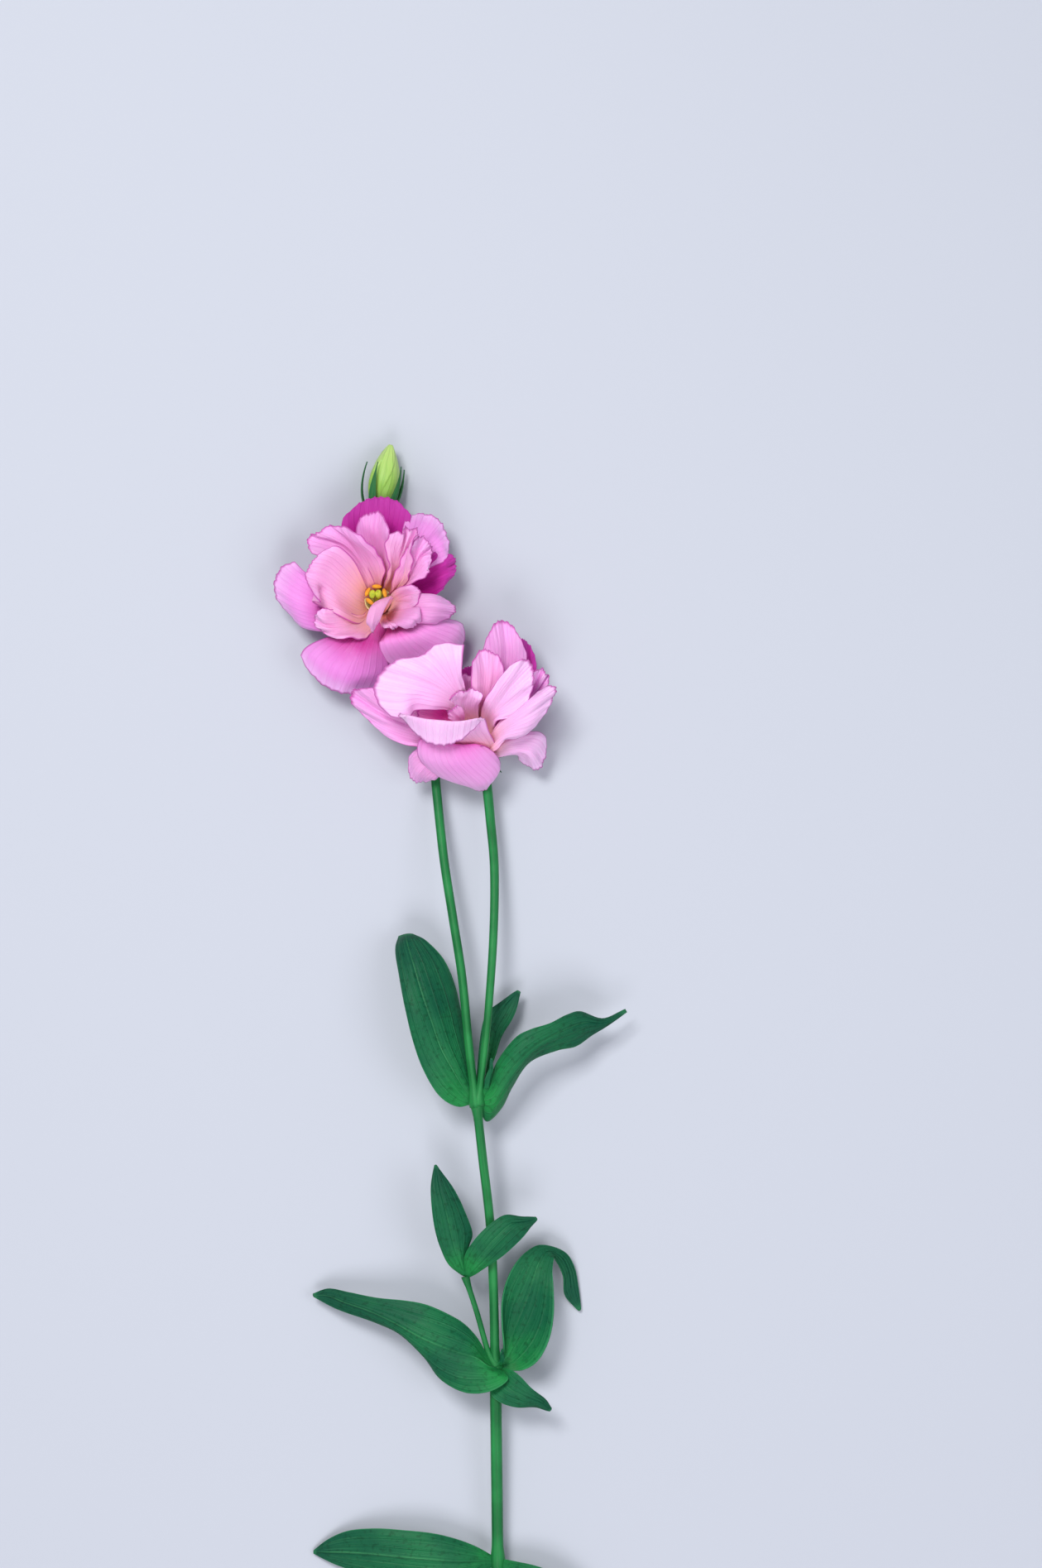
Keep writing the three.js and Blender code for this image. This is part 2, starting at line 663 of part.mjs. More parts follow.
/** A round stem along points, its radius running evenly from the first to the last. */
function stemSolid(points, radii, steps, sides = STEM_SIDES) {
  const curve = new THREE.CatmullRomCurve3(points);
  const circle = new THREE.Shape();
  const ring = [];
  for (let k = 0; k < sides; k += 1) {
    const angle = (2 * Math.PI * k) / sides;
    ring.push(new THREE.Vector2(Math.cos(angle), Math.sin(angle)));
  }
  circle.setFromPoints(ring);
  const geometry = new THREE.ExtrudeGeometry(circle, { steps, extrudePath: curve, bevelEnabled: false });
  const centres = curve.getSpacedPoints(steps);
  const position = geometry.attributes.position;
  const point = new THREE.Vector3();
  for (let i = 0; i < position.count; i += 1) {
    point.fromBufferAttribute(position, i);
    const distances = centres.map((centre) => centre.distanceTo(point));
    const nearest = distances.indexOf(Math.min(...distances));
    const radius = THREE.MathUtils.lerp(radii[0], radii[1], nearest / steps);
    point.sub(centres[nearest]).multiplyScalar(radius).add(centres[nearest]);
    position.setXYZ(i, point.x, point.y, point.z);
  }
  return solidOf(geometry);
}

/** An ellipsoid with its long axis along a direction. */
function ellipsoid(centre, direction, halfLength, radius, sides = 8) {
  const geometry = new THREE.SphereGeometry(1, sides, 6);
  geometry.scale(radius, halfLength, radius);
  const turn = new THREE.Quaternion();
  turn.setFromUnitVectors(new THREE.Vector3(0, 1, 0), direction.clone().normalize());
  geometry.applyQuaternion(turn);
  geometry.translate(centre.x, centre.y, centre.z);
  return solidOf(geometry);
}

/** The point at a share across a row of left margin, middle and right margin. */
function across([left, middle, right], u) {
  return left.clone().multiplyScalar((u * (u - 1)) / 2)
    .addScaledVector(middle, 1 - u * u)
    .addScaledVector(right, (u * (u + 1)) / 2);
}

/** A leaf blade from its rows of margin, midrib and margin. */
function leafSolid(rows) {
  const columns = rows.length < 5 ? [-1, 0, 1] : BLADE_COLUMNS;
  const grid = rows.map((row) => columns.map((u) => across(row.map(planPoint), u)));
  return sheetSolid(grid, LEAF_THICKNESS);
}

/** The axis of a bloom with two directions across it, the first nearest to +X. */
function bloomFrame(bloom) {
  const axis = new THREE.Vector3(...bloom.facing).normalize();
  const right = new THREE.Vector3(1, 0, 0).addScaledVector(axis, -axis.x).normalize();
  const upward = axis.clone().cross(right);
  return { base: planPoint(bloom.base), axis, right, upward };
}

/** The direction away from a bloom's axis at an azimuth in degrees. */
function outward(frame, azimuth) {
  const angle = THREE.MathUtils.degToRad(azimuth);
  return frame.right.clone().multiplyScalar(Math.cos(angle)).addScaledVector(frame.upward, Math.sin(angle));
}

/** A smooth step from 0 to 1. */
function smooth(value) {
  const t = Math.min(Math.max(value, 0), 1);
  return t * t * (3 - 2 * t);
}

/** The solid of a petal, whose tip has rounded corners. */
function petalSolid(frame, { azimuth, rows }) {
  const { radius, height, spread } = PETAL_ROOT;
  const root = [1, 0, -1].map((side) => frame.base.clone()
    .addScaledVector(outward(frame, azimuth + side * spread), radius)
    .addScaledVector(frame.axis, height));
  const lines = [root, ...rows.map((row) => row.map(planPoint))];
  const last = lines.length - 1;
  const grid = lines.map((line, i) => BLADE_COLUMNS.map((u) => {
    const drawnIn = i * (1 - (PETAL_ROUNDING * i * Math.abs(u) ** 3) / last);
    const k = Math.min(Math.floor(drawnIn), last - 1);
    return across(lines[k], u).lerp(across(lines[k + 1], u), drawnIn - k);
  }));
  return sheetSolid(grid, PETAL_THICKNESS);
}

/** Half the width of a sepal at a share of its length. */
function sepalHalfWidth(t) {
  const taper = 0.35 + 0.65 * Math.sin(Math.PI * Math.min(t + 0.15, 1));
  return SEPAL_HALF_WIDTH * taper * (1.15 - t ** 3);
}

/** The solid of a sepal, which bends away from the axis along its length. */
function sepalSolid(frame, azimuth, length, [rootAngle, midAngle, tipAngle]) {
  const out = outward(frame, azimuth);
  const side = outward(frame, azimuth + 90);
  const steps = 40;
  const rows = 3;
  const grid = [];
  let { radius, height } = SEPAL_ROOT;
  for (let k = 0; k <= steps; k += 1) {
    const t = k / steps;
    if ((k * rows) % steps < rows) {
      const width = sepalHalfWidth(t);
      grid.push([-1, 0, 1].map((u) => frame.base.clone()
        .addScaledVector(out, radius)
        .addScaledVector(frame.axis, height)
        .addScaledVector(side, u * width)));
    }
    const angle = rootAngle * (1 - t) ** 2 + 2 * midAngle * t * (1 - t) + tipAngle * t * t;
    const theta = THREE.MathUtils.degToRad(angle);
    radius += (Math.sin(theta) * length) / steps;
    height += (Math.cos(theta) * length) / steps;
  }
  return sheetSolid(grid, PETAL_THICKNESS);
}

/** A lathed solid round a bloom's axis from (radius, height) pairs that start and end on the axis. */
function turned(frame, profile, sides = 12) {
  const geometry = new THREE.LatheGeometry(profile.map(([r, h]) => new THREE.Vector2(r, h)), sides);
  const turn = new THREE.Quaternion().setFromUnitVectors(new THREE.Vector3(0, 1, 0), frame.axis);
  geometry.applyQuaternion(turn);
  geometry.translate(frame.base.x, frame.base.y, frame.base.z);
  return solidOf(geometry);
}

// ---------------------------------------------------------------- pieces

/** All petals of a bloom, grown together in a short tube at their roots. */
function petalsSolid(bloom) {
  const frame = bloomFrame(bloom);
  const tube = turned(frame, TUBE);
  const petals = Object.values(bloom.petals).map((petal) => petalSolid(frame, petal));
  return largestBody(join([tube, ...petals]));
}

/** The green cup under a bloom with its five narrow sepals. */
function calyxSolids(frame, { length, angles }) {
  const cup = turned(frame, CUP, 10);
  const sepals = SEPAL_AZIMUTHS.map((azimuth) => sepalSolid(frame, azimuth, length, angles));
  return [cup, ...sepals];
}

/** Five stamens on a thin ring. */
function stamensSolid(frame, { height, reach }) {
  const ring = turned(frame, STAMEN_RING, 10);
  const stamens = [12, 84, 156, 228, 300].flatMap((azimuth) => {
    const out = outward(frame, azimuth);
    const at = (r, h) => frame.base.clone().addScaledVector(out, r).addScaledVector(frame.axis, h);
    const line = [at(FILAMENT.base, 2.6), at(FILAMENT.middle, height * 0.55), at(reach, height)];
    const filament = stemSolid(line, FILAMENT.radii, 3, 5);
    const { halfLength, radius } = ANTHER;
    const sideways = outward(frame, azimuth + 90);
    const anther = ellipsoid(at(reach + 0.1, height + 0.2), sideways, halfLength, radius, 6);
    return [filament, anther];
  });
  return join([ring, ...stamens]);
}

/** The ovary with its style and the two lobes of the stigma. */
function pistilSolid(frame, { stigma }) {
  const ovary = [[0, 2.15], [1.2, 2.15], [1.4, stigma / 3], [1.2, stigma / 2]];
  const style = [[0.6, stigma * 0.7], [0.55, stigma - 0.4], [0, stigma]];
  const body = turned(frame, [...ovary, ...style], 10);
  const { offset, halfLength, radius } = STIGMA_LOBE;
  const lobes = [0, 180].map((azimuth) => {
    const centre = frame.base.clone()
      .addScaledVector(outward(frame, azimuth), offset)
      .addScaledVector(frame.axis, stigma);
    return ellipsoid(centre, outward(frame, azimuth + 90), halfLength, radius, 8);
  });
  return join([body, ...lobes]);
}

/** The furled petals of the bud, wound round each other. */
function budSolid(frame) {
  const sides = 18;
  const rings = 10;
  const grid = [];
  for (let i = 0; i <= rings; i += 1) {
    const v = i / rings;
    const swell = 0.3 * (1 - v) ** 2 + Math.sin(Math.PI * Math.min(v * 0.9 + 0.06, 1)) ** 0.9;
    const radius = BUD.radius * Math.max(swell * 0.93, 0.1);
    const row = [];
    for (let j = 0; j < sides; j += 1) {
      const angle = (360 * j) / sides;
      const furl = 1 + 0.09 * Math.sin(THREE.MathUtils.degToRad(3 * angle - 240 * v)) * smooth(v * 2);
      row.push(
        frame.base.clone()
          .addScaledVector(outward(frame, angle), radius * furl)
          .addScaledVector(frame.axis, 1.2 + BUD.length * v),
      );
    }
    grid.push(row);
  }
  const points = grid.flat();
  const faces = [];
  for (let i = 0; i < rings; i += 1) {
    for (let j = 0; j < sides; j += 1) {
      const a = i * sides + j;
      const b = i * sides + ((j + 1) % sides);
      faces.push(a, b, b + sides, a, b + sides, a + sides);
    }
  }
  const last = rings * sides;
  for (let j = 1; j < sides - 1; j += 1) {
    faces.push(0, j + 1, j);
    faces.push(last, last + j, last + j + 1);
  }
  const geometry = new THREE.BufferGeometry();
  geometry.setAttribute("position", new THREE.Float32BufferAttribute(points.flatMap((p) => p.toArray()), 3));
  geometry.setIndex(faces);
  return solidOf(geometry);
}

// ---------------------------------------------------------------- assembly

const leftFrame = bloomFrame(BLOOMS.left);
const rightFrame = bloomFrame(BLOOMS.right);
const budAxis = planPoint(BUD.tip).sub(planPoint(BUD.base)).normalize();
const budFrame = bloomFrame({ base: BUD.base, facing: budAxis.toArray() });

const greens = [];
for (const { points, radii } of Object.values(STEMS)) {
  greens.push(stemSolid(points.map(planPoint), radii, Math.round(1.4 * points.length)));
}
for (const [x, y, z, radius] of NODES) {
  greens.push(ellipsoid(planPoint([x, y, z]), new THREE.Vector3(0, 1, 0), radius * 1.3, radius));
}
for (const rows of Object.values(LEAVES)) greens.push(leafSolid(rows));
greens.push(...calyxSolids(leftFrame, SEPALS.left));
greens.push(...calyxSolids(rightFrame, SEPALS.right));
greens.push(...calyxSolids(budFrame, SEPALS.bud));
const leafyStem = largestBody(join(greens));

const part = new THREE.Group();
part.add(
  meshOf("leafy_stem", leafyStem, GREEN, 0.55),
  meshOf("left_petals", petalsSolid(BLOOMS.left), PINK, 0.6),
  meshOf("left_stamens", stamensSolid(leftFrame, HEARTS.left), ANTHER_YELLOW, 0.6),
  meshOf("left_pistil", pistilSolid(leftFrame, HEARTS.left), STIGMA_GREEN, 0.5),
  meshOf("right_petals", petalsSolid(BLOOMS.right), PINK, 0.6),
  meshOf("right_stamens", stamensSolid(rightFrame, HEARTS.right), ANTHER_YELLOW, 0.6),
  meshOf("right_pistil", pistilSolid(rightFrame, HEARTS.right), STIGMA_GREEN, 0.5),
  meshOf("bud_petals", budSolid(budFrame), BUD_GREEN, 0.5),
);

export default part;
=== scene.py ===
"""One cut stem of a double lisianthus, lying on a pale surface.

The stem forks into two branches with a double bloom each, and one branch also carries a furled bud. Every
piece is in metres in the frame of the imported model, +Z up, with Y running from the cut end to the blooms.
"""

import logging
import math
from dataclasses import dataclass
from enum import Enum
from typing import Callable, Sequence

import bmesh
import bpy
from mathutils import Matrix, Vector


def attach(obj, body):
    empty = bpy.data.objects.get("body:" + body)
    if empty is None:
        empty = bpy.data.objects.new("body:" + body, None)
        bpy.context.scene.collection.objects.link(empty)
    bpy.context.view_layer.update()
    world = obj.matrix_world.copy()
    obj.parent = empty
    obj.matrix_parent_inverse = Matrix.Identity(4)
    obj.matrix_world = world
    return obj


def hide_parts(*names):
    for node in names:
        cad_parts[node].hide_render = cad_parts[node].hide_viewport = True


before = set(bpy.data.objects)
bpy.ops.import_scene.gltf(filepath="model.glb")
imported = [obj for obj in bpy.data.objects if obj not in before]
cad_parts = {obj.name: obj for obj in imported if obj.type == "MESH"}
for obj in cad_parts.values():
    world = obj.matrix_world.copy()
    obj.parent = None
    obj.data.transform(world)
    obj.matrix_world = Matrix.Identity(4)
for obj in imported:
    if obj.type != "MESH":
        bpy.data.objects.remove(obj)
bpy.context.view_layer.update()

MM = 0.001
FLAT = 1e-12  # a cross product below this gives no direction
LOG = logging.getLogger("lisianthus")

Row = Sequence[Sequence[float]]  # left margin, middle and right margin, as plan point and height
Profile = Sequence[Sequence[float]]  # pairs of radius and height in millimetres
Surface = Callable[[float, float], Vector]  # point at a share across and a share along


# ------------------------------------------------------------------ places


@dataclass(frozen=True)
class Plan:
    """The plan that every outline is drawn on, seen from above.

    Attributes:
        unit: millimetres in one plan unit.
        origin_x: plan x that lies over the origin.
        origin_y: plan y that lies over the origin.
        lift: millimetres added to every height.
    """

    unit: float = 0.3125
    origin_x: float = 541.0
    origin_y: float = 1297.0
    lift: float = -0.1

    def point(self, place: Sequence[float]) -> Vector:
        """Returns a plan point and its height as a point in metres."""
        x, y, z = place
        return Vector(((x - self.origin_x) * self.unit, (self.origin_y - y) * self.unit, z + self.lift)) * MM


PLAN = Plan()


def smooth(value: float) -> float:
    """Returns a smooth step from 0 to 1."""
    t = min(max(value, 0.0), 1.0)
    return t * t * (3.0 - 2.0 * t)


def mix(a: float, b: float, t: float) -> float:
    """Returns the value a share t of the way from a to b."""
    return a + (b - a) * t


def bell(away: float, width: float) -> float:
    """Returns a bell curve: 1 at its middle, and small beyond its width."""
    return math.exp(-((away / width) ** 2))


def near_margin(reach: float, start: float) -> float:
    """Returns a smooth step from 0 where a band along a blade's margin starts to 1 on the margin."""
    return smooth((reach - start) / (1.0 - start))


def spline(points: Sequence[Vector], t: float) -> Vector:
    """Finds a point on the smooth curve through some points.

    Args:
        points: the points that the curve runs through.
        t: the place on the curve, from 0 at the first point to 1 at the last.

    Returns:
        The point on the curve.
    """
    last = len(points) - 1
    at = min(max(t, 0.0), 1.0) * last
    k = min(int(at), last - 1)
    f = at - k
    p1, p2 = points[k], points[k + 1]
    p0 = points[k - 1] if k > 0 else p1 * 2 - p2
    p3 = points[k + 2] if k + 2 <= last else p2 * 2 - p1
    return (
        p1
        + (p2 - p0) * (0.5 * f)
        + (p0 * 2 - p1 * 5 + p2 * 4 - p3) * (0.5 * f * f)
        + (p1 * 3 - p0 - p2 * 3 + p3) * (0.5 * f * f * f)
    )


def across_rows(lines: Sequence[Sequence[Vector]], u: float, v: float) -> Vector:
    """Finds a point on the smooth surface through a blade's left margin, middle and right margin.

    Args:
        lines: the three lines, each from the blade's root to its tip.
        u: the place across, from -1 to 1.
        v: the place along, from 0 to 1.

    Returns:
        The point in metres.
    """
    left, middle, right = (spline(line, v) for line in lines)
    return left * (u * (u - 1) / 2) + middle * (1 - u * u) + right * (u * (u + 1) / 2)


def slopes(surface: Surface, u: float, v: float, step_u: float, step_v: float) -> tuple[Vector, Vector]:
    """Finds the ways across and along a surface at one place.

    Args:
        surface: the surface.
        u: the place across, from -1 to 1.
        v: the place along, from 0 to 1.
        step_u: half the stretch across that is measured.
        step_v: half the stretch along that is measured.

    Returns:
        The way across and the way along, not of length 1.
    """
    across = surface(min(u + step_u, 1.0), v) - surface(max(u - step_u, -1.0), v)
    along = surface(u, min(v + step_v, 1.0)) - surface(u, max(v - step_v, 0.0))
    return across, along


@dataclass(frozen=True)
class BloomFrame:
    """The receptacle of a bloom: its place and the way that it faces.

    Attributes:
        base: plan point and height of the receptacle.
        facing: direction of the bloom's axis.
    """

    base: tuple[float, float, float]
    facing: tuple[float, float, float]

    @property
    def axis(self) -> Vector:
        """Returns the bloom's axis."""
        return Vector(self.facing).normalized()

    def outward(self, azimuth: float) -> Vector:
        """Finds a direction away from the axis.

        Args:
            azimuth: degrees round the axis.

        Returns:
            The direction.
        """
        axis = self.axis
        right = (Vector((1, 0, 0)) - axis * axis.x).normalized()
        angle = math.radians(azimuth)
        return right * math.cos(angle) + axis.cross(right) * math.sin(angle)

    def at(self, azimuth: float, radius: float, height: float) -> Vector:
        """Finds a point by its azimuth, radius and height.

        Args:
            azimuth: degrees round the axis.
            radius: millimetres from the axis.
            height: millimetres above the receptacle.

        Returns:
            The point in metres.
        """
        return PLAN.point(self.base) + self.outward(azimuth) * (radius * MM) + self.axis * (height * MM)


# ------------------------------------------------------------------ finishes


def socket(tree: bpy.types.NodeTree, name: str, kind: str, output: bool, value: object = None) -> None:
    """Adds a socket to a node group.

    Args:
        tree: the group.
        name: the socket's name.
        kind: Color, Float or Vector.
        output: whether it is an output.
        value: its default.
    """
    way = "OUTPUT" if output else "INPUT"
    made = tree.interface.new_socket(name, in_out=way, socket_type="NodeSocket" + kind)
    if value is not None:
        made.default_value = value


class NodeSheet:
    """Places nodes in a tree and joins them."""

    def __init__(self, tree: bpy.types.NodeTree) -> None:
        """Keeps the tree that the nodes go into."""
        self.tree = tree

    def add(
        self, kind: str, inputs: dict[object, object] | None = None, **settings: object
    ) -> bpy.types.Node:
        """Adds one node.

        Args:
            kind: the node's type without its ShaderNode prefix.
            inputs: values or output sockets for its inputs.
            settings: attributes of the node.

        Returns:
            The node.
        """
        name = kind if kind.startswith("NodeGroup") else "ShaderNode" + kind
        node = self.tree.nodes.new(name)
        for key, value in settings.items():
            setattr(node, key, value)
        for key, value in (inputs or {}).items():
            if isinstance(value, bpy.types.NodeSocket):
                self.tree.links.new(value, node.inputs[key])
            else:
                node.inputs[key].default_value = value
        return node

    def math(self, operation: str, *values: object) -> bpy.types.NodeSocket:
        """Returns the result of a Math node on up to three values or sockets."""
        return self.add("Math", dict(enumerate(values)), operation=operation).outputs[0]

    def ramp(self, value: object, low: float, high: float) -> bpy.types.NodeSocket:
        """Returns a value as a smooth step between two limits."""
        node = self.add("MapRange", {0: value, 1: low, 2: high}, interpolation_type="SMOOTHSTEP")
        return node.outputs[0]

    def blend(self, share: object, a: object, b: object, how: str = "MIX") -> bpy.types.NodeSocket:
        """Returns a mix of two colours."""
        node = self.add("Mix", {0: share, 6: a, 7: b}, data_type="RGBA", blend_type=how)
        return node.outputs[2]

    def times(self, value: object, strength: float) -> bpy.types.NodeSocket:
        """Returns a mask that is scaled by a strength."""
        return self.math("MULTIPLY", value, strength)


GRAIN_SCALE = 2600.0  # grains in a metre
SPECK_SCALE = 620.0  # specks in a metre
BLADE_DEPTH = 0.003  # metres that light spreads inside a blade
BLADE_SPREAD = (1.0, 0.45, 0.7)  # share of that for red, green and blue light
ROUND_DEPTH = 0.002  # metres that light spreads inside a round piece


class SharedEffects:
    """The shader node groups that several finishes use, each built once."""

    def __init__(self) -> None:
        """Builds the groups."""
        self.blade = self._blade()
        self.mottle = self._mottle()

    @staticmethod
    def _blade() -> bpy.types.NodeTree:
        """Builds the group that reads a blade's own UV map.

        Returns:
            A group with masks for its long veins, midrib and margin and for the way from root to tip.
        """
        tree = bpy.data.node_groups.new("BladeMarks", "ShaderNodeTree")
        socket(tree, "UV", "Vector", False)
        socket(tree, "Vein Count", "Float", False, 9.0)
        socket(tree, "Vein Sharpness", "Float", False, 6.0)
        socket(tree, "Margin Width", "Float", False, 0.05)
        for name in ("Along", "Veins", "Midrib", "Margin"):
            socket(tree, name, "Float", True)
        sheet = NodeSheet(tree)
        given = sheet.add("NodeGroupInput").outputs
        axes = sheet.add("SeparateXYZ", {0: given["UV"]}).outputs
        wander = sheet.add("TexNoise", {"Vector": given["UV"], "Scale": 3.0, "Detail": 2.0}).outputs[0]
        across = sheet.math("ADD", axes[0], sheet.times(sheet.math("SUBTRACT", wander, 0.5), 0.05))
        turns = sheet.times(sheet.math("MULTIPLY", across, given["Vein Count"]), 2 * math.pi)
        wave = sheet.math("MULTIPLY_ADD", sheet.math("COSINE", turns), 0.5, 0.5)
        veins = sheet.math("POWER", wave, given["Vein Sharpness"])
        middle = sheet.math("ABSOLUTE", sheet.math("SUBTRACT", across, 0.5))
        midrib = sheet.math("SUBTRACT", 1.0, sheet.ramp(middle, 0.0, 0.035))
        side = sheet.math("SUBTRACT", 0.5, sheet.math("ABSOLUTE", sheet.math("SUBTRACT", axes[0], 0.5)))
        edge = sheet.math("MINIMUM", side, sheet.times(sheet.math("SUBTRACT", 1.0, axes[1]), 0.7))
        margin = sheet.math("SUBTRACT", 1.0, sheet.ramp(edge, 0.0, given["Margin Width"]))
        sheet.add("NodeGroupOutput", {"Along": axes[1], "Veins": veins, "Midrib": midrib, "Margin": margin})
        return tree

    @staticmethod
    def _mottle() -> bpy.types.NodeTree:
        """Builds the group for slow changes of tone and fine grain over a surface.

        Returns:
            A group with masks for slow Tone, fine Grain, small Specks and Fibre that runs along the UV map.
        """
        tree = bpy.data.node_groups.new("Mottle", "ShaderNodeTree")
        socket(tree, "Position", "Vector", False)
        socket(tree, "UV", "Vector", False)
        socket(tree, "Patch Scale", "Float", False, 60.0)
        socket(tree, "Fibre Count", "Float", False, 60.0)
        for name in ("Tone", "Grain", "Specks", "Fibre"):
            socket(tree, name, "Float", True)
        sheet = NodeSheet(tree)
        given = sheet.add("NodeGroupInput").outputs
        here = given["Position"]
        tone = sheet.add("TexNoise", {"Vector": here, "Scale": given["Patch Scale"], "Detail": 3.0})
        grain = sheet.add("TexNoise", {"Vector": here, "Scale": GRAIN_SCALE, "Detail": 2.0})
        pits = sheet.add("TexNoise", {"Vector": here, "Scale": SPECK_SCALE, "Detail": 3.0})
        specks = sheet.ramp(pits.outputs[0], 0.52, 0.7)
        counts = sheet.add("CombineXYZ", {0: given["Fibre Count"], 1: 1.6, 2: 1.0}).outputs[0]
        lengthened = sheet.add("VectorMath", {0: given["UV"], 1: counts}, operation="MULTIPLY").outputs[0]
        fibre = sheet.add("TexNoise", {"Vector": lengthened, "Scale": 1.0, "Detail": 2.5})
        sheet.add("NodeGroupOutput", {
            "Tone": tone.outputs[0], "Grain": grain.outputs[0], "Specks": specks, "Fibre": fibre.outputs[0],
        })
        return tree


def colour(code: str) -> tuple[float, float, float, float]:
    """Reads a colour.

    Args:
        code: the colour as six hexadecimal digits.

    Returns:
        Its linear values, and 1 for opaque.
    """
    values = [int(code[i : i + 2], 16) / 255 for i in (0, 2, 4)]
    linear = [v / 12.92 if v <= 0.04045 else ((v + 0.055) / 1.055) ** 2.4 for v in values]
    return (linear[0], linear[1], linear[2], 1.0)


def empty_material(name: str) -> tuple[bpy.types.Material, NodeSheet]:
    """Makes a material without nodes.

    Args:
        name: the material's name.

    Returns:
        The material and the empty sheet of its nodes.
    """
    material = bpy.data.materials.new(name)
    material.use_nodes = True
    material.node_tree.nodes.clear()
    return material, NodeSheet(material.node_tree)


@dataclass(frozen=True)
class BladeFinish:
    """The finish of a petal, leaf or sepal, which reads the blade's own UV map.

    Attributes:
        name: the material's name.
        root: colour at the root.
        body: colour of the middle of the blade.
        outer: colour towards the tip.
        vein: colour of the long veins.
        margin: colour of the margin.
        root_start: share of the length where the root's colour begins to fade.
        root_reach: share of the length where it has faded.
        vein_count: long veins across the blade.
        vein_sharpness: how narrow the veins are.
        vein_strength: how much the veins colour it.
        midrib_strength: how much the midrib colours it.
        margin_width: width of the margin's line, as a share of the blade's width.
        margin_strength: how much the margin's colour shows.
        tone_strength: how much slow patches of the outer colour show.
        speck_strength: how dark small specks are.
        fibre_strength: how much fine fibres take the veins' colour.
        roughness: middle roughness.
        roughness_spread: how far the grain spreads the roughness.
        sheen: weight of the velvet sheen.
        subsurface: weight of the light that passes into the blade.
        relief: depth of the veins' relief in metres.
        specular: how strongly the surface mirrors the light, 0.5 for a plain dielectric.
    """

    name: str
    root: str
    body: str
    outer: str
    vein: str
    margin: str
    root_start: float = 0.05
    root_reach: float = 0.45
    vein_count: float = 9.0
    vein_sharpness: float = 6.0
    vein_strength: float = 0.3
    midrib_strength: float = 0.0
    margin_width: float = 0.03
    margin_strength: float = 0.8
    tone_strength: float = 0.25
    speck_strength: float = 0.0
    fibre_strength: float = 0.22
    roughness: float = 0.55
    roughness_spread: float = 0.16
    sheen: float = 0.25
    subsurface: float = 0.2
    relief: float = 0.0002
    specular: float = 0.5

    def build(self, effects: SharedEffects) -> bpy.types.Material:
        """Builds the material.

        Args:
            effects: the shared node groups.

        Returns:
            The material.
        """
        material, sheet = empty_material(self.name)
        place = sheet.add("TexCoord").outputs
        marks = sheet.add("Group", {
            "UV": place["UV"], "Vein Count": self.vein_count, "Vein Sharpness": self.vein_sharpness,
            "Margin Width": self.margin_width,
        }, node_tree=effects.blade).outputs
        mottle = sheet.add("Group", {
            "Position": place["Object"], "UV": place["UV"],
        }, node_tree=effects.mottle).outputs
        along = marks["Along"]
        faded = sheet.ramp(along, self.root_start, self.root_reach)
        tint = sheet.blend(faded, colour(self.root), colour(self.body))
        tint = sheet.blend(sheet.ramp(along, self.root_reach, 1.0), tint, colour(self.outer))
        fibre = sheet.times(sheet.ramp(mottle["Fibre"], 0.35, 0.75), self.fibre_strength)
        for share, code in (
            (sheet.times(marks["Veins"], self.vein_strength), self.vein),
            (sheet.times(marks["Midrib"], self.midrib_strength), self.vein),
            (fibre, self.vein),
            (sheet.times(sheet.ramp(mottle["Tone"], 0.3, 0.7), self.tone_strength), self.outer),
        ):
            tint = sheet.blend(share, tint, colour(code))
        specks = sheet.times(mottle["Specks"], self.speck_strength)
        tint = sheet.blend(specks, tint, colour(self.outer), "MULTIPLY")
        tint = sheet.blend(sheet.times(marks["Margin"], self.margin_strength), tint, colour(self.margin))
        spread = self.roughness_spread
        rough = sheet.math("MULTIPLY_ADD", mottle["Grain"], spread, self.roughness - spread / 2)
        ribs = sheet.math("MULTIPLY_ADD", marks["Midrib"], 1.5, marks["Veins"])
        height = sheet.math("MULTIPLY_ADD", mottle["Fibre"], 0.6, ribs)
        height = sheet.math("MULTIPLY_ADD", mottle["Grain"], 0.15, height)
        bump = sheet.add("Bump", {"Height": height, "Strength": 0.5, "Distance": self.relief}).outputs[0]
        shader = sheet.add("BsdfPrincipled", {
            "Base Color": tint, "Roughness": rough, "Normal": bump,
            "Specular IOR Level": self.specular, "Sheen Weight": self.sheen, "Sheen Roughness": 0.5,
            "Subsurface Weight": self.subsurface, "Subsurface Radius": BLADE_SPREAD,
            "Subsurface Scale": BLADE_DEPTH,
        })
        sheet.add("OutputMaterial", {"Surface": shader.outputs[0]})
        return material


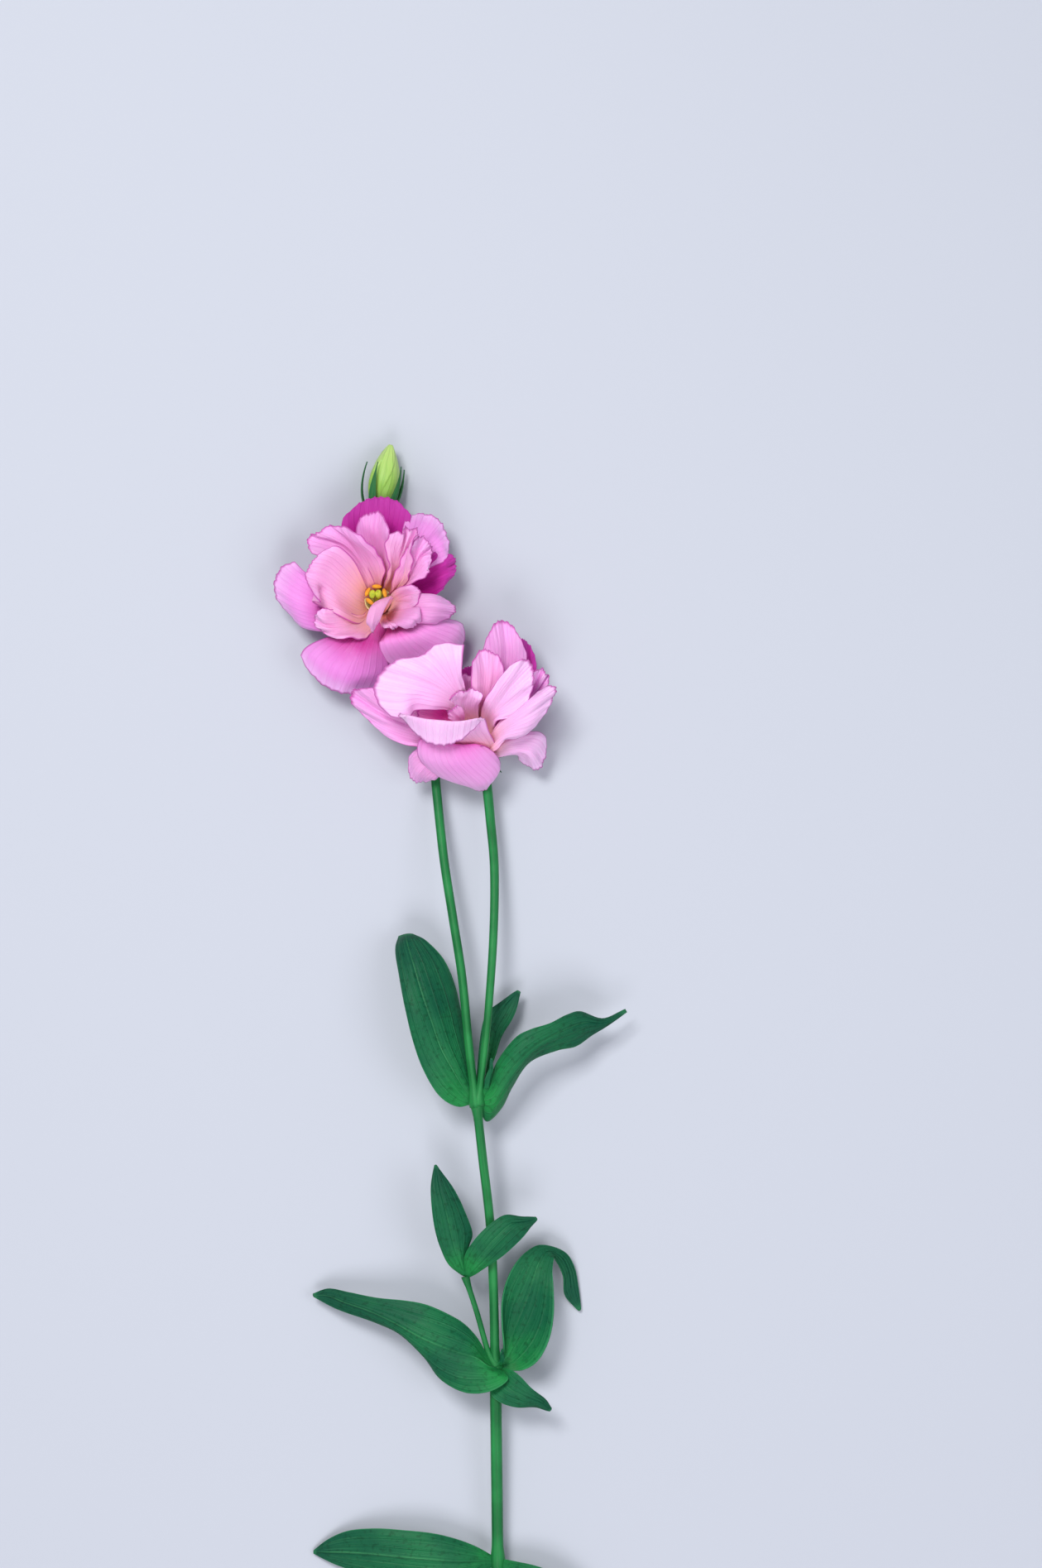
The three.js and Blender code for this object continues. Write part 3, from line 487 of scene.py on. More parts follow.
@dataclass(frozen=True)
class RoundFinish:
    """The finish of a stem, stamen, pistil or other round piece.

    Attributes:
        name: the material's name.
        light: colour of the paler patches.
        dark: colour of the deeper patches.
        patch_scale: patches in a metre.
        fibre_count: streaks round the piece.
        roughness: middle roughness.
        roughness_spread: how far the grain spreads the roughness.
        subsurface: weight of the light that passes into it.
        relief: depth of the grain in metres.
        specular: how strongly it mirrors the light, 0.5 for a plain dielectric.
    """

    name: str
    light: str
    dark: str
    patch_scale: float = 90.0
    fibre_count: float = 14.0
    roughness: float = 0.45
    roughness_spread: float = 0.2
    subsurface: float = 0.1
    relief: float = 0.0002
    specular: float = 0.5

    def build(self, effects: SharedEffects) -> bpy.types.Material:
        """Builds the material.

        Args:
            effects: the shared node groups.

        Returns:
            The material.
        """
        material, sheet = empty_material(self.name)
        place = sheet.add("TexCoord").outputs
        mottle = sheet.add("Group", {
            "Position": place["Object"], "UV": place["UV"], "Patch Scale": self.patch_scale,
            "Fibre Count": self.fibre_count,
        }, node_tree=effects.mottle).outputs
        patches = sheet.ramp(mottle["Tone"], 0.3, 0.7)
        streaks = sheet.ramp(mottle["Fibre"], 0.35, 0.7)
        share = sheet.math("MULTIPLY_ADD", streaks, 0.45, sheet.times(patches, 0.55))
        tint = sheet.blend(share, colour(self.light), colour(self.dark))
        spread = self.roughness_spread
        rough = sheet.math("MULTIPLY_ADD", mottle["Grain"], spread, self.roughness - spread / 2)
        height = sheet.math("ADD", mottle["Fibre"], mottle["Grain"])
        bump = sheet.add("Bump", {"Height": height, "Strength": 0.4, "Distance": self.relief}).outputs[0]
        shader = sheet.add("BsdfPrincipled", {
            "Base Color": tint, "Roughness": rough, "Normal": bump, "Specular IOR Level": self.specular,
            "Subsurface Weight": self.subsurface, "Subsurface Scale": ROUND_DEPTH,
        })
        sheet.add("OutputMaterial", {"Surface": shader.outputs[0]})
        return material


# ------------------------------------------------------------------ making pieces


def put_in_scene(name: str, data: bpy.types.ID) -> bpy.types.Object:
    """Puts a mesh, a light or a camera in the scene.

    Args:
        name: the object's name.
        data: what it shows.

    Returns:
        The object.
    """
    made = bpy.data.objects.new(name, data)
    bpy.context.scene.collection.objects.link(made)
    return made


class Workshop:
    """Turns bmesh shapes into finished pieces that ride on the stem."""

    def __init__(self) -> None:
        """Starts with the shared effects and no materials."""
        self.effects = SharedEffects()
        self.materials: dict[str, bpy.types.Material] = {}

    def dress(self, piece: bpy.types.Object, finish: BladeFinish | RoundFinish) -> None:
        """Gives a piece its finish, which is built the first time.

        Args:
            piece: the piece.
            finish: its finish.
        """
        if finish.name not in self.materials:
            self.materials[finish.name] = finish.build(self.effects)
        piece.data.materials.append(self.materials[finish.name])

    def piece(
        self, name: str, shape: bmesh.types.BMesh, finish: BladeFinish | RoundFinish, slot: str, node: str
    ) -> bpy.types.Object:
        """Args:
            name: the piece's name.
            shape: its mesh, which is freed.
            finish: its finish.
            slot: not used.
            node: the CAD node that it stands for.

        Returns:
            The piece.
        """
        for face in shape.faces:
            face.smooth = True
        data = bpy.data.meshes.new(name)
        shape.to_mesh(data)
        shape.free()
        made = put_in_scene(name, data)
        self.dress(made, finish)
        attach(made, "root")
        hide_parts(node)
        LOG.info("%s: %d faces", name, len(data.polygons))
        return made

    @staticmethod
    def thicken(piece: bpy.types.Object, thickness: float) -> None:
        """Gives a blade its thickness on both sides.

        Args:
            piece: the blade.
            thickness: millimetres.
        """
        solid = piece.modifiers.new("Thickness", "SOLIDIFY")
        solid.thickness = thickness * MM
        solid.offset = 0.0
        solid.use_even_offset = False


def blade_shape(surface: Surface, columns: int, rows: int) -> bmesh.types.BMesh:
    """Makes a blade as a grid that is laid over a surface.

    Args:
        surface: gives the point at a share across, from -1 to 1, and along, from 0 to 1.
        columns: faces across.
        rows: faces along.

    Returns:
        The blade, with a UV map that runs across and along it.
    """
    shape = bmesh.new()
    shape.loops.layers.uv.new("Surface")
    bmesh.ops.create_grid(shape, x_segments=columns, y_segments=rows, size=1.0, calc_uvs=True)
    for vert in shape.verts:
        vert.co = surface(vert.co.x, (vert.co.y + 1.0) / 2.0)
    return shape


def tube_shape(surface: Surface, sides: int, rings: int) -> bmesh.types.BMesh:
    """Makes a closed round shape as a grid that is wrapped round until its two sides meet.

    Args:
        surface: gives the point at a share round, from -1 to 1, and along, from 0 to 1.
        sides: faces round.
        rings: faces along.

    Returns:
        The closed shape, facing out.
    """
    shape = blade_shape(surface, sides, rings)
    bmesh.ops.remove_doubles(shape, verts=shape.verts, dist=1e-7)
    open_edges = [edge for edge in shape.edges if edge.is_boundary]
    bmesh.ops.holes_fill(shape, edges=open_edges, sides=0)
    bmesh.ops.recalc_face_normals(shape, faces=shape.faces)
    return shape


def lathe_shape(place: BloomFrame, profile: Profile, sides: int) -> bmesh.types.BMesh:
    """Turns a profile round a bloom's axis.

    Args:
        place: the bloom's frame.
        profile: pairs of radius and height in millimetres, from end to end.
        sides: steps round.

    Returns:
        The turned shape.
    """
    points = [Vector((radius, height, 0.0)) for radius, height in profile]

    def surface(u: float, v: float) -> Vector:
        """Returns the point at a share round, from -1 to 1, and a share along the profile."""
        at = spline(points, v)
        return place.at(180.0 * u, max(at.x, 0.0), at.y)

    return tube_shape(surface, sides, 5 * len(profile))


# ------------------------------------------------------------------ petals


@dataclass(frozen=True)
class PetalFinish(BladeFinish):
    """The finish of a pink petal, with values that all of them share: many fine veins and a deep margin.

    Attributes:
        vein: colour of the long veins.
        margin: colour of the margin.
        root_reach: share of the length where the root's colour has faded.
        vein_count: long veins across the petal.
        vein_sharpness: how narrow the veins are.
        vein_strength: how much the veins colour it.
        margin_width: width of the margin's line, as a share of the petal's width.
        sheen: weight of the velvet sheen.
        subsurface: weight of the light that passes into the petal.
        specular: how strongly the surface mirrors the light, 0.5 for a plain dielectric.
    """

    vein: str = "E070C4"
    margin: str = "B8309A"
    root_reach: float = 0.6
    vein_count: float = 13.0
    vein_sharpness: float = 9.0
    vein_strength: float = 0.12
    margin_width: float = 0.02
    sheen: float = 0.1
    subsurface: float = 0.3
    specular: float = 0.25


class Whorl(Enum):
    """Which whorl a petal belongs to, or the light or shade that is painted into its colour, with its
    finish.
    """

    # Painted shade: the deep magenta root colour, which fades out between 0.4 and 0.8 of the length, stands
    # for the shade where the outer petals tuck under the others.
    OUTER_SHADED_ROOT = PetalFinish("PetalOuterShadedRoot", root="BC0482", body="F08CE0", outer="F6B4F2", vein="E060C4",
                        root_start=0.4, root_reach=0.8, specular=0.18)
    # Painted light: these paler colours stand for light falling on the petals.
    LIT = PetalFinish("PetalLit", root="EE30AC", body="FA9AE6", outer="FDBCF6", vein="E45CC0",
                      root_start=0.3, root_reach=0.62)
    # Painted shade: this deep magenta stands for petals that lie in shade.
    SHADED = PetalFinish("PetalShaded", root="A80070", body="B4088A", outer="C23CA6", vein="98167E",
                         specular=0.1)
    MIDDLE = PetalFinish("PetalMiddle", root="EE9260", body="F09ED8", outer="F2A8E6")
    INNER = PetalFinish("PetalInner", root="F8AE70", body="F2A4D4", outer="F4B0E6", root_reach=0.7)
    # The peach root is the throat's own colour; the deep magenta body is painted shade in the hollow of the
    # throat.
    SHADED_THROAT = PetalFinish("PetalShadedThroat", root="E88A58", body="FF54B8", outer="F898D0", root_start=0.2,
                         root_reach=0.75)
    PALE = PetalFinish("PetalPale", root="F4A474", body="FBB8EE", outer="FDC6F8", root_reach=0.62)


TURN_CENTRE = 0.25  # share along a petal of the point that its ruffles run round


@dataclass(frozen=True)
class Petal:
    """One petal, drawn as rows across it from its root to its tip.

    Attributes:
        name: the petal's name.
        whorl: the whorl that it belongs to.
        azimuth: degrees round the axis at its root.
        rows: left margin, middle and right margin of each row, as plan point and height.
        ruffle: height of the ruffles at its margin, in millimetres.
        waves: ruffles round its margin.
        phase: where the ruffles start.
        roll: how far its margin rolls back, in millimetres.
        nick: side of a nick in the margin, -1 or 1, its place along, and its depth in millimetres.
        cleft: place across of a cleft between two lobes of the tip, and its depth in millimetres.
        root_radius: distance of its root from the axis in millimetres.
        root_height: height of its root above the receptacle in millimetres.
        root_spread: degrees round the axis from the middle of its root to either side.
        rounding: how far the corners of its tip are rounded, as a share of its length.
        thickness: millimetres.
        nick_length: length of the nick, as a share of the petal's.
        cleft_width: width of the cleft, as a share of half the petal's.
        faces: faces across and along.
    """

    name: str
    whorl: Whorl
    azimuth: float
    rows: Sequence[Row]
    ruffle: float = 0.9
    waves: int = 6
    phase: float = 0.0
    roll: float = 1.2
    nick: tuple[int, float, float] = (1, 0.8, 0.0)
    cleft: tuple[float, float] = (0.0, 0.0)

    root_radius: float = 3.9
    root_height: float = 3.0
    root_spread: float = 26.0
    rounding: float = 0.13
    thickness: float = 0.45
    nick_length: float = 0.09
    cleft_width: float = 0.16
    faces: tuple[int, int] = (44, 40)

    def surface(self, place: BloomFrame) -> Surface:
        """Lays the petal's smooth surface through its rows.

        Args:
            place: the bloom's frame.

        Returns:
            The surface, with its ruffles.
        """
        root = [
            place.at(self.azimuth + turn * self.root_spread, self.root_radius, self.root_height)
            for turn in (1, 0, -1)
        ]
        lines = list(zip(*[root, *([PLAN.point(point) for point in row] for row in self.rows)]))

        def plain(u: float, v: float) -> Vector:
            """Returns a point on the surface without its ruffles, its tip's corners rounded."""
            return across_rows(lines, u, v * (1.0 - self.rounding * v * abs(u) ** 3))

        def ruffled(u: float, v: float) -> Vector:
            """Finds a point on the ruffled surface.

            Args:
                u: the place across, from -1 to 1.
                v: the place along, from 0 to 1.

            Returns:
                The point in metres.
            """
            here = plain(u, v)
            across, along = slopes(plain, u, v, 0.02, 0.02)
            normal = across.cross(along)
            if normal.length < FLAT:
                return here
            side, nick_v, depth = self.nick
            nicked = depth * near_margin(side * u, 0.2) * bell(v - nick_v, self.nick_length)
            lift = self._lift(u, v) - 0.7 * nicked
            offset = normal.normalized() * lift + along.normalized() * self._fringe(u, v)
            return here + (offset - across.normalized() * (side * nicked)) * MM

        return ruffled

    def _lift(self, u: float, v: float) -> float:
        """Finds how far ruffles, pleats and the rolled margin lift the surface.

        Args:
            u: the place across, from -1 to 1.
            v: the place along, from 0 to 1.

        Returns:
            Millimetres along the surface's normal.
        """
        reach, turn = max(abs(u), v), math.atan2(u, v - TURN_CENTRE)
        count, phase = self.waves, self.phase
        frill = near_margin(reach, 0.78) * smooth(v / 0.5)
        rise = math.sin(count * turn + phase) * near_margin(reach, 0.5) * smooth(v / 0.45)
        rise += 0.35 * math.sin((2 * count + 3) * turn + 2.3 * phase + 1.0) * frill
        rise += 0.2 * math.sin((5 * count + 2) * turn + 4.1 * phase) * frill
        pleats = 0.12 * math.sin(7.0 * u + 3.0 * phase) * v * v
        rolled = self.roll * near_margin(reach, 0.72) ** 2 * smooth(v / 0.5)
        return self.ruffle * (rise + pleats) - rolled

    def _fringe(self, u: float, v: float) -> float:
        """Finds how far small teeth and the cleft move the margin outwards.

        Args:
            u: the place across, from -1 to 1.
            v: the place along, from 0 to 1.

        Returns:
            Millimetres along the petal.
        """
        reach, turn = max(abs(u), v), math.atan2(u, v - TURN_CENTRE)
        teeth = 0.28 * math.sin(23.0 * turn + 5.0 * self.phase)
        teeth += 0.2 * math.sin(57.0 * turn + 9.0 * self.phase)
        cleft_u, cleft_depth = self.cleft
        cleft = cleft_depth * bell(u - cleft_u, self.cleft_width) * near_margin(v, 0.6)
        return teeth * near_margin(reach, 0.88) * v - cleft

    def build(self, shop: Workshop, place: BloomFrame, bloom: str) -> bpy.types.Object:
        """Makes the petal.

        Args:
            shop: the workshop.
            place: the bloom's frame.
            bloom: the bloom's name.

        Returns:
            The petal.
        """
        shape = blade_shape(self.surface(place), *self.faces)
        name, node = f"{bloom}_petal_{self.name}", f"{bloom}_petals"
        piece = shop.piece(name, shape, self.whorl.value, "petal_pink", node)
        shop.thicken(piece, self.thickness)
        return piece


@dataclass(frozen=True)
class Sepals:
    """The green cup under a bloom or bud with its five narrow sepals.

    Attributes:
        length: length of a sepal in millimetres.
        angles: degrees from the axis at a sepal's root, middle and tip.
        half_width: half a sepal's width in millimetres.
        root_radius: distance of a sepal's root from the axis in millimetres.
        root_height: its height above the receptacle in millimetres.
        thickness: millimetres.
        count: how many sepals.
        first: azimuth of the first sepal in degrees.
        steps: steps along a sepal's spine.
        cup: radius and height of the cup's profile in millimetres.
    """

    length: float
    angles: tuple[float, float, float]
    half_width: float = 1.5
    root_radius: float = 2.6
    root_height: float = -1.2
    thickness: float = 0.5
    count: int = 5
    first: float = 30.0
    steps: int = 40
    cup: Profile = (
        (0, -5), (1.7, -4.4), (2.0, -3.4), (2.6, -1.5), (3.6, 0.1), (3.0, 0.6), (0, 0.5),
    )

    def surface(self, place: BloomFrame, azimuth: float) -> Surface:
        """Lays one sepal along its bent spine.

        Args:
            place: the bloom's frame.
            azimuth: degrees round the axis.

        Returns:
            The sepal's surface.
        """
        root, middle, tip = self.angles
        spine = [(self.root_radius, self.root_height)]
        for k in range(self.steps):
            t = k / self.steps
            angle = math.radians(root * (1 - t) ** 2 + 2 * middle * t * (1 - t) + tip * t * t)
            radius, height = spine[-1]
            step = self.length / self.steps
            spine.append((radius + math.sin(angle) * step, height + math.cos(angle) * step))
        side = place.outward(azimuth + 90.0)

        def surface(u: float, v: float) -> Vector:
            """Finds a point on the sepal.

            Args:
                u: the place across, from -1 to 1.
                v: the place along, from 0 to 1.

            Returns:
                The point in metres.
            """
            radius, height = spine[min(int(v * self.steps + 0.5), self.steps)]
            belly = 0.35 + 0.65 * math.sin(math.pi * min(v + 0.15, 1.0))
            width = self.half_width * belly * (1.02 - v**3)
            keel = 0.5 * (1 - abs(u)) * (1 - v)
            return place.at(azimuth, radius + keel, height - keel) + side * (u * width * MM)

        return surface

    def build(self, shop: Workshop, place: BloomFrame, bloom: str) -> None:
        """Makes the cup and the sepals.

        Args:
            shop: the workshop.
            place: the bloom's frame.
            bloom: the bloom's name.
        """
        cup = lathe_shape(place, self.cup, 28)
        shop.piece(f"{bloom}_calyx_cup", cup, SEPAL_FINISH, "leaf_green", "leafy_stem")
        for k in range(self.count):
            azimuth = 360.0 / self.count * k + self.first
            shape = blade_shape(self.surface(place, azimuth), 8, 30)
            sepal = shop.piece(f"{bloom}_sepal_{k + 1}", shape, SEPAL_FINISH, "leaf_green", "leafy_stem")
            shop.thicken(sepal, self.thickness)


SEPAL_FINISH = BladeFinish(
    name="Sepal", root="4C9A40", body="1E6A38", outer="14502C", vein="5FA552", margin="1C5A34",
    vein_count=1.0, vein_strength=0.15, midrib_strength=0.5, roughness=0.5, sheen=0.0, subsurface=0.1,
    specular=0.25,
)
ANTHER_FINISH = RoundFinish(name="Anther", light="F0B428", dark="D07A12", patch_scale=700.0, roughness=0.75)
FILAMENT_FINISH = RoundFinish(name="Filament", light="E9DE8A", dark="D0C060", patch_scale=300.0)
STIGMA_FINISH = RoundFinish(
    name="Stigma", light="D3E03A", dark="8FAF20", patch_scale=900.0, roughness=0.7, relief=0.0004
)
TUBE_FINISH = RoundFinish(name="CorollaTube", light="E9D9A0", dark="B9B070", patch_scale=200.0)
BUD_FINISH = BladeFinish(
    name="Bud", root="55903A", body="8CC044", outer="BEDC7E", vein="639C32", margin="B8D870",
    root_reach=0.3, vein_count=12.0, vein_strength=0.35, margin_strength=0.0, roughness=0.45,
    sheen=0.1, subsurface=0.2,
)
LEAF_FINISH = BladeFinish(
    name="Leaf", root="1E8840", body="14663E", outer="0C4A38", vein="4EA66C", margin="3C9460",
    root_reach=0.36, vein_count=6.0, vein_sharpness=40.0, vein_strength=0.16, midrib_strength=0.4,
    margin_width=0.03, margin_strength=0.5, tone_strength=0.65, speck_strength=0.32, roughness=0.42,
    sheen=0.0, subsurface=0.04, relief=0.0006, specular=0.11,
)
STEM_FINISH = RoundFinish(
    name="Stem", light="2A8C4A", dark="0F5A2E", patch_scale=60.0, roughness=0.42, specular=0.2
)


@dataclass(frozen=True)
class Heart:
    """The stamens and the pistil in a bloom's throat.

    Attributes:
        height: height of the filaments' ends above the receptacle in millimetres.
        reach: their distance from the axis in millimetres.
        stigma: height of the stigma in millimetres.
        stamens: how many stamens.
        first: azimuth of the first stamen in degrees.
        filament: radius of a filament in millimetres.
        anther: half an anther's length, width and height in millimetres.
        lobe: the same of a stigma lobe.
        tube: radius and height of the profile of the corolla's tube in millimetres.
    """

    height: float
    reach: float
    stigma: float
    stamens: int = 5
    first: float = 12.0
    filament: float = 0.36
    anther: tuple[float, float, float] = (1.9, 0.85, 0.8)
    lobe: tuple[float, float, float] = (1.8, 1.3, 1.1)
    tube: Profile = (
        (0.0, 0.8), (2.6, 0.9), (3.9, 3.0), (5.1, 7.5), (4.5, 7.6), (3.3, 3.4), (2.4, 1.8), (0.0, 1.8),
    )

    def build(self, shop: Workshop, place: BloomFrame, bloom: str) -> None:
        """Makes the stamens, the pistil and the corolla's tube.

        Args:
            shop: the workshop.
            place: the bloom's frame.
            bloom: the bloom's name.
        """
        tube = lathe_shape(place, self.tube, 32)
        shop.piece(f"{bloom}_tube", tube, TUBE_FINISH, "petal_pink", f"{bloom}_petals")
        for k in range(self.stamens):
            self._stamen(shop, place, bloom, k)
        top = self.stigma
        body = [[0, 2.2], [1.1, 2.4], [1.5, top / 3], [1.3, top / 2], [0.6, top * 0.7], [0.5, top * 0.87],
                [0.7, top - 0.3], [0, top]]
        ovary, node = lathe_shape(place, body, 20), f"{bloom}_pistil"
        shop.piece(f"{bloom}_ovary", ovary, STIGMA_FINISH, "stigma_green", node)
        for k in range(2):
            centre = place.at(180.0 * k, 1.15, top)
            lobe = self._bead(centre, place.outward(180.0 * k + 90.0), place.axis, self.lobe, 0.12)
            shop.piece(f"{bloom}_stigma_{k + 1}", lobe, STIGMA_FINISH, "stigma_green", node)

    def _stamen(self, shop: Workshop, place: BloomFrame, bloom: str, index: int) -> None:
        """Makes one filament and its anther.

        Args:
            shop: the workshop.
            place: the bloom's frame.
            bloom: the bloom's name.
            index: which stamen.
        """
        azimuth, node = 360.0 / self.stamens * index + self.first, f"{bloom}_stamens"
        radius, height = self.reach, self.height
        middle = place.at(azimuth, 2.4, height * 0.55)
        line = [place.at(azimuth, 2.1, 2.4), middle, place.at(azimuth, radius, height)]
        shape = tube_shape(Stalk.wrap(line, lambda t: self.filament), 10, 16)
        shop.piece(f"{bloom}_filament_{index + 1}", shape, FILAMENT_FINISH, "anther_yellow", node)
        across = place.outward(azimuth + 90.0)
        centre = place.at(azimuth, radius + 0.2, height + 0.3)
        anther = self._bead(centre, across, place.axis, self.anther, 0.3)
        shop.piece(f"{bloom}_anther_{index + 1}", anther, ANTHER_FINISH, "anther_yellow", node)

    @staticmethod
    def _bead(
        centre: Vector, along: Vector, up: Vector, halves: tuple[float, float, float], groove: float
    ) -> bmesh.types.BMesh:
        """Makes a rounded bead with a groove along it.

        Args:
            centre: its middle.
            along: its long axis.
            up: the way its groove faces.
            halves: half its length, width and height in millimetres.
            groove: depth of the groove as a share of its height.

        Returns:
            The bead.
        """
        shape = bmesh.new()
        shape.loops.layers.uv.new("Surface")
        bmesh.ops.create_uvsphere(shape, u_segments=20, v_segments=14, radius=1.0, calc_uvs=True)
        across = up.cross(along).normalized()
        rise = along.cross(across).normalized()
        for vert in shape.verts:
            x, y, z = vert.co.z, vert.co.x, vert.co.y
            dent = 1.0 - groove * bell(y, 0.3) * (1.0 if z > 0 else 0.2)
            z = z * dent - 0.25 * x * x
            offset = along * (x * halves[0]) + across * (y * halves[1]) + rise * (z * halves[2])
            vert.co = centre + offset * MM
        bmesh.ops.recalc_face_normals(shape, faces=shape.faces)
        return shape


@dataclass(frozen=True)
class Bloom:
    """One double bloom.

    Attributes:
        name: the bloom's name, which its CAD nodes start with.
        place: its frame.
        petals: its petals.
        sepals: its calyx.
        heart: its stamens and pistil.
    """

    name: str
    place: BloomFrame
    petals: Sequence[Petal]
    sepals: Sepals
    heart: Heart

    def build(self, shop: Workshop) -> None:
        """Makes the whole bloom.

        Args:
            shop: the workshop.
        """
        for petal in self.petals:
            petal.build(shop, self.place, self.name)
        self.heart.build(shop, self.place, self.name)
        self.sepals.build(shop, self.place, self.name)


@dataclass(frozen=True)
class Bud:
    """The furled bud with its calyx.

    Attributes:
        place: its frame.
        length: length of the furled petals in millimetres.
        radius: greatest radius in millimetres.
        furls: petals wound round each other.
        overlap: how far one petal's edge stands over the next, as a share of the radius.
        sepals: its calyx.
    """

    place: BloomFrame
    length: float = 25.0
    radius: float = 5.6
    furls: int = 5
    overlap: float = 0.1
    sepals: Sepals = Sepals(21.0, (48.0, 2.0, -8.0))

    def build(self, shop: Workshop) -> None:
        """Makes the furled petals and the calyx.

        Args:
            shop: the workshop.
        """
        shape = tube_shape(self.surface, 100, 60)
        shop.piece("bud_furled_petals", shape, BUD_FINISH, "bud_lime", "bud_petals")
        self.sepals.build(shop, self.place, "bud")

    def surface(self, u: float, v: float) -> Vector:
        """Finds a point on the furled petals.

        Args:
            u: the place round, from -1 to 1.
            v: the place along, from 0 to 1.

        Returns:
            The point in metres.
        """
        swell = 0.3 * (1 - v) ** 2 + math.sin(math.pi * min(v * 0.9 + 0.06, 1.0)) ** 0.9
        radius = self.radius * max(swell * 0.93, 0.06)
        turn = (u * 0.5 + 0.5) * self.furls - 1.1 * v
        furl = 1.0 + self.overlap * smooth(v * 2.0) * ((turn % 1.0) ** 3 - 0.35)
        return self.place.at(180.0 * u, radius * furl, 1.2 + self.length * v)


# ------------------------------------------------------------------ stem and leaves


@dataclass(frozen=True)
class Stalk:
    """A stretch of the green stem.

    Attributes:
        name: its name.
        radii: radius at each end in millimetres.
        points: plan points with their height.
        node_length: millimetres along which a node swells it.
    """

    name: str
    radii: tuple[float, float]
    points: Sequence[Sequence[float]]
    node_length: float = 3.6

    @staticmethod
    def wrap(line: Sequence[Vector], radius: Callable[[float], float]) -> Surface:
        """Wraps a surface round a line.

        Args:
            line: points in metres.
            radius: radius in millimetres at each share of the way.

        Returns:
            The surface.
        """

        def surface(u: float, v: float) -> Vector:
            """Finds a point on the wrapped surface, which has five faint ridges.

            Args:
                u: the place round, from -1 to 1.
                v: the place along, from 0 to 1.

            Returns:
                The point in metres.
            """
            here = spline(line, v)
            along = (spline(line, min(v + 0.01, 1.0)) - spline(line, max(v - 0.01, 0.0))).normalized()
            side = along.cross(Vector((0.0, 0.0, 1.0)))
            if side.length < 0.05:
                side = along.cross(Vector((1.0, 0.0, 0.0)))
            side.normalize()
            angle = math.pi * u
            ridge = 1.0 + 0.03 * math.cos(5.0 * angle)
            away = side * math.cos(angle) + side.cross(along) * math.sin(angle)
            return here + away * (radius(v) * ridge * MM)

        return surface

    def build(self, shop: Workshop, swellings: Sequence[Sequence[float]]) -> None:
        """Makes the stretch, thicker at the nodes that it passes.

        Args:
            shop: the workshop.
            swellings: plan point, height and radius of each node.
        """
        line = [PLAN.point(point) for point in self.points]
        nodes = [(PLAN.point(node[:3]), node[3]) for node in swellings]

        def radius(t: float) -> float:
            """Finds the stretch's radius.

            Args:
                t: the place along, from 0 to 1.

            Returns:
                The radius in millimetres.
            """
            here = spline(line, t)
            plain = mix(self.radii[0], self.radii[1], t)
            for centre, size in nodes:
                away = (here - centre).length / MM
                plain = max(plain, mix(plain, size, bell(away, self.node_length)))
            return plain

        shape = tube_shape(self.wrap(line, radius), 20, 10 * (len(line) - 1))
        shop.piece(f"stem_{self.name}", shape, STEM_FINISH, "leaf_green", "leafy_stem")


@dataclass(frozen=True)
class Leaf:
    """One leaf, drawn as rows across it from its base to its tip.

    Attributes:
        name: its name.
        rows: left margin, midrib and right margin of each row, as plan point and height.
        thickness: millimetres.
        groove: depth of the groove along the midrib in millimetres.
        side_groove: depth of the groove along each side vein in millimetres.
        side_veins: places of the side veins, as shares of half the width.
        waviness: height of the margin's waves in millimetres.
    """

    name: str
    rows: Sequence[Row]
    thickness: float = 0.55
    groove: float = 0.45
    side_groove: float = 0.18
    side_veins: tuple[float, ...] = (0.42, 0.74)
    waviness: float = 0.5

    def surface(self) -> Surface:
        """Lays the leaf's smooth surface through its rows, with grooves along its veins.

        Returns:
            The surface.
        """
        lines = [[PLAN.point(point) for point in line] for line in zip(*self.rows)]
        phase = sum(map(ord, self.name)) % 7

        def plain(u: float, v: float) -> Vector:
            """Returns a point on the surface without its grooves."""
            return across_rows(lines, u, v)

        def veined(u: float, v: float) -> Vector:
            """Finds a point on the grooved surface.

            Args:
                u: the place across, from -1 to 1.
                v: the place along, from 0 to 1.

            Returns:
                The point in metres.
            """
            here = plain(u, v)
            across, along = slopes(plain, u, v, 0.03, 0.02)
            normal = along.cross(across)
            if normal.length < FLAT:
                return here
            depth = self.groove * bell(u, 0.09)
            depth += self.side_groove * sum(bell(abs(u) - at, 0.05) for at in self.side_veins)
            depth += self.waviness * math.sin(9.0 * v + phase + 2.0 * u) * u * u
            body = smooth(v / 0.2) * smooth((1.0 - v) / 0.2)
            return here + normal.normalized() * (depth * body * MM)

        return veined

    def build(self, shop: Workshop) -> None:
        """Makes the leaf.

        Args:
            shop: the workshop.
        """
        shape = blade_shape(self.surface(), 36, max(24, 6 * len(self.rows)))
        piece = shop.piece(f"leaf_{self.name}", shape, LEAF_FINISH, "leaf_green", "leafy_stem")
        shop.thicken(piece, self.thickness)


@dataclass(frozen=True)
class LeafyStem:
    """The stem with its branches, nodes and leaves.

    Attributes:
        stalks: its stretches.
        swellings: plan point, height and radius of each node.
        leaves: its leaves.
    """

    stalks: Sequence[Stalk]
    swellings: Sequence[Sequence[float]]
    leaves: Sequence[Leaf]

    def build(self, shop: Workshop) -> None:
        """Makes every stretch of stem and every leaf.

        Args:
            shop: the workshop.
        """
        for stalk in self.stalks:
            stalk.build(shop, self.swellings)
        for leaf in self.leaves:
            leaf.build(shop)


# ------------------------------------------------------------------ the plan's tables

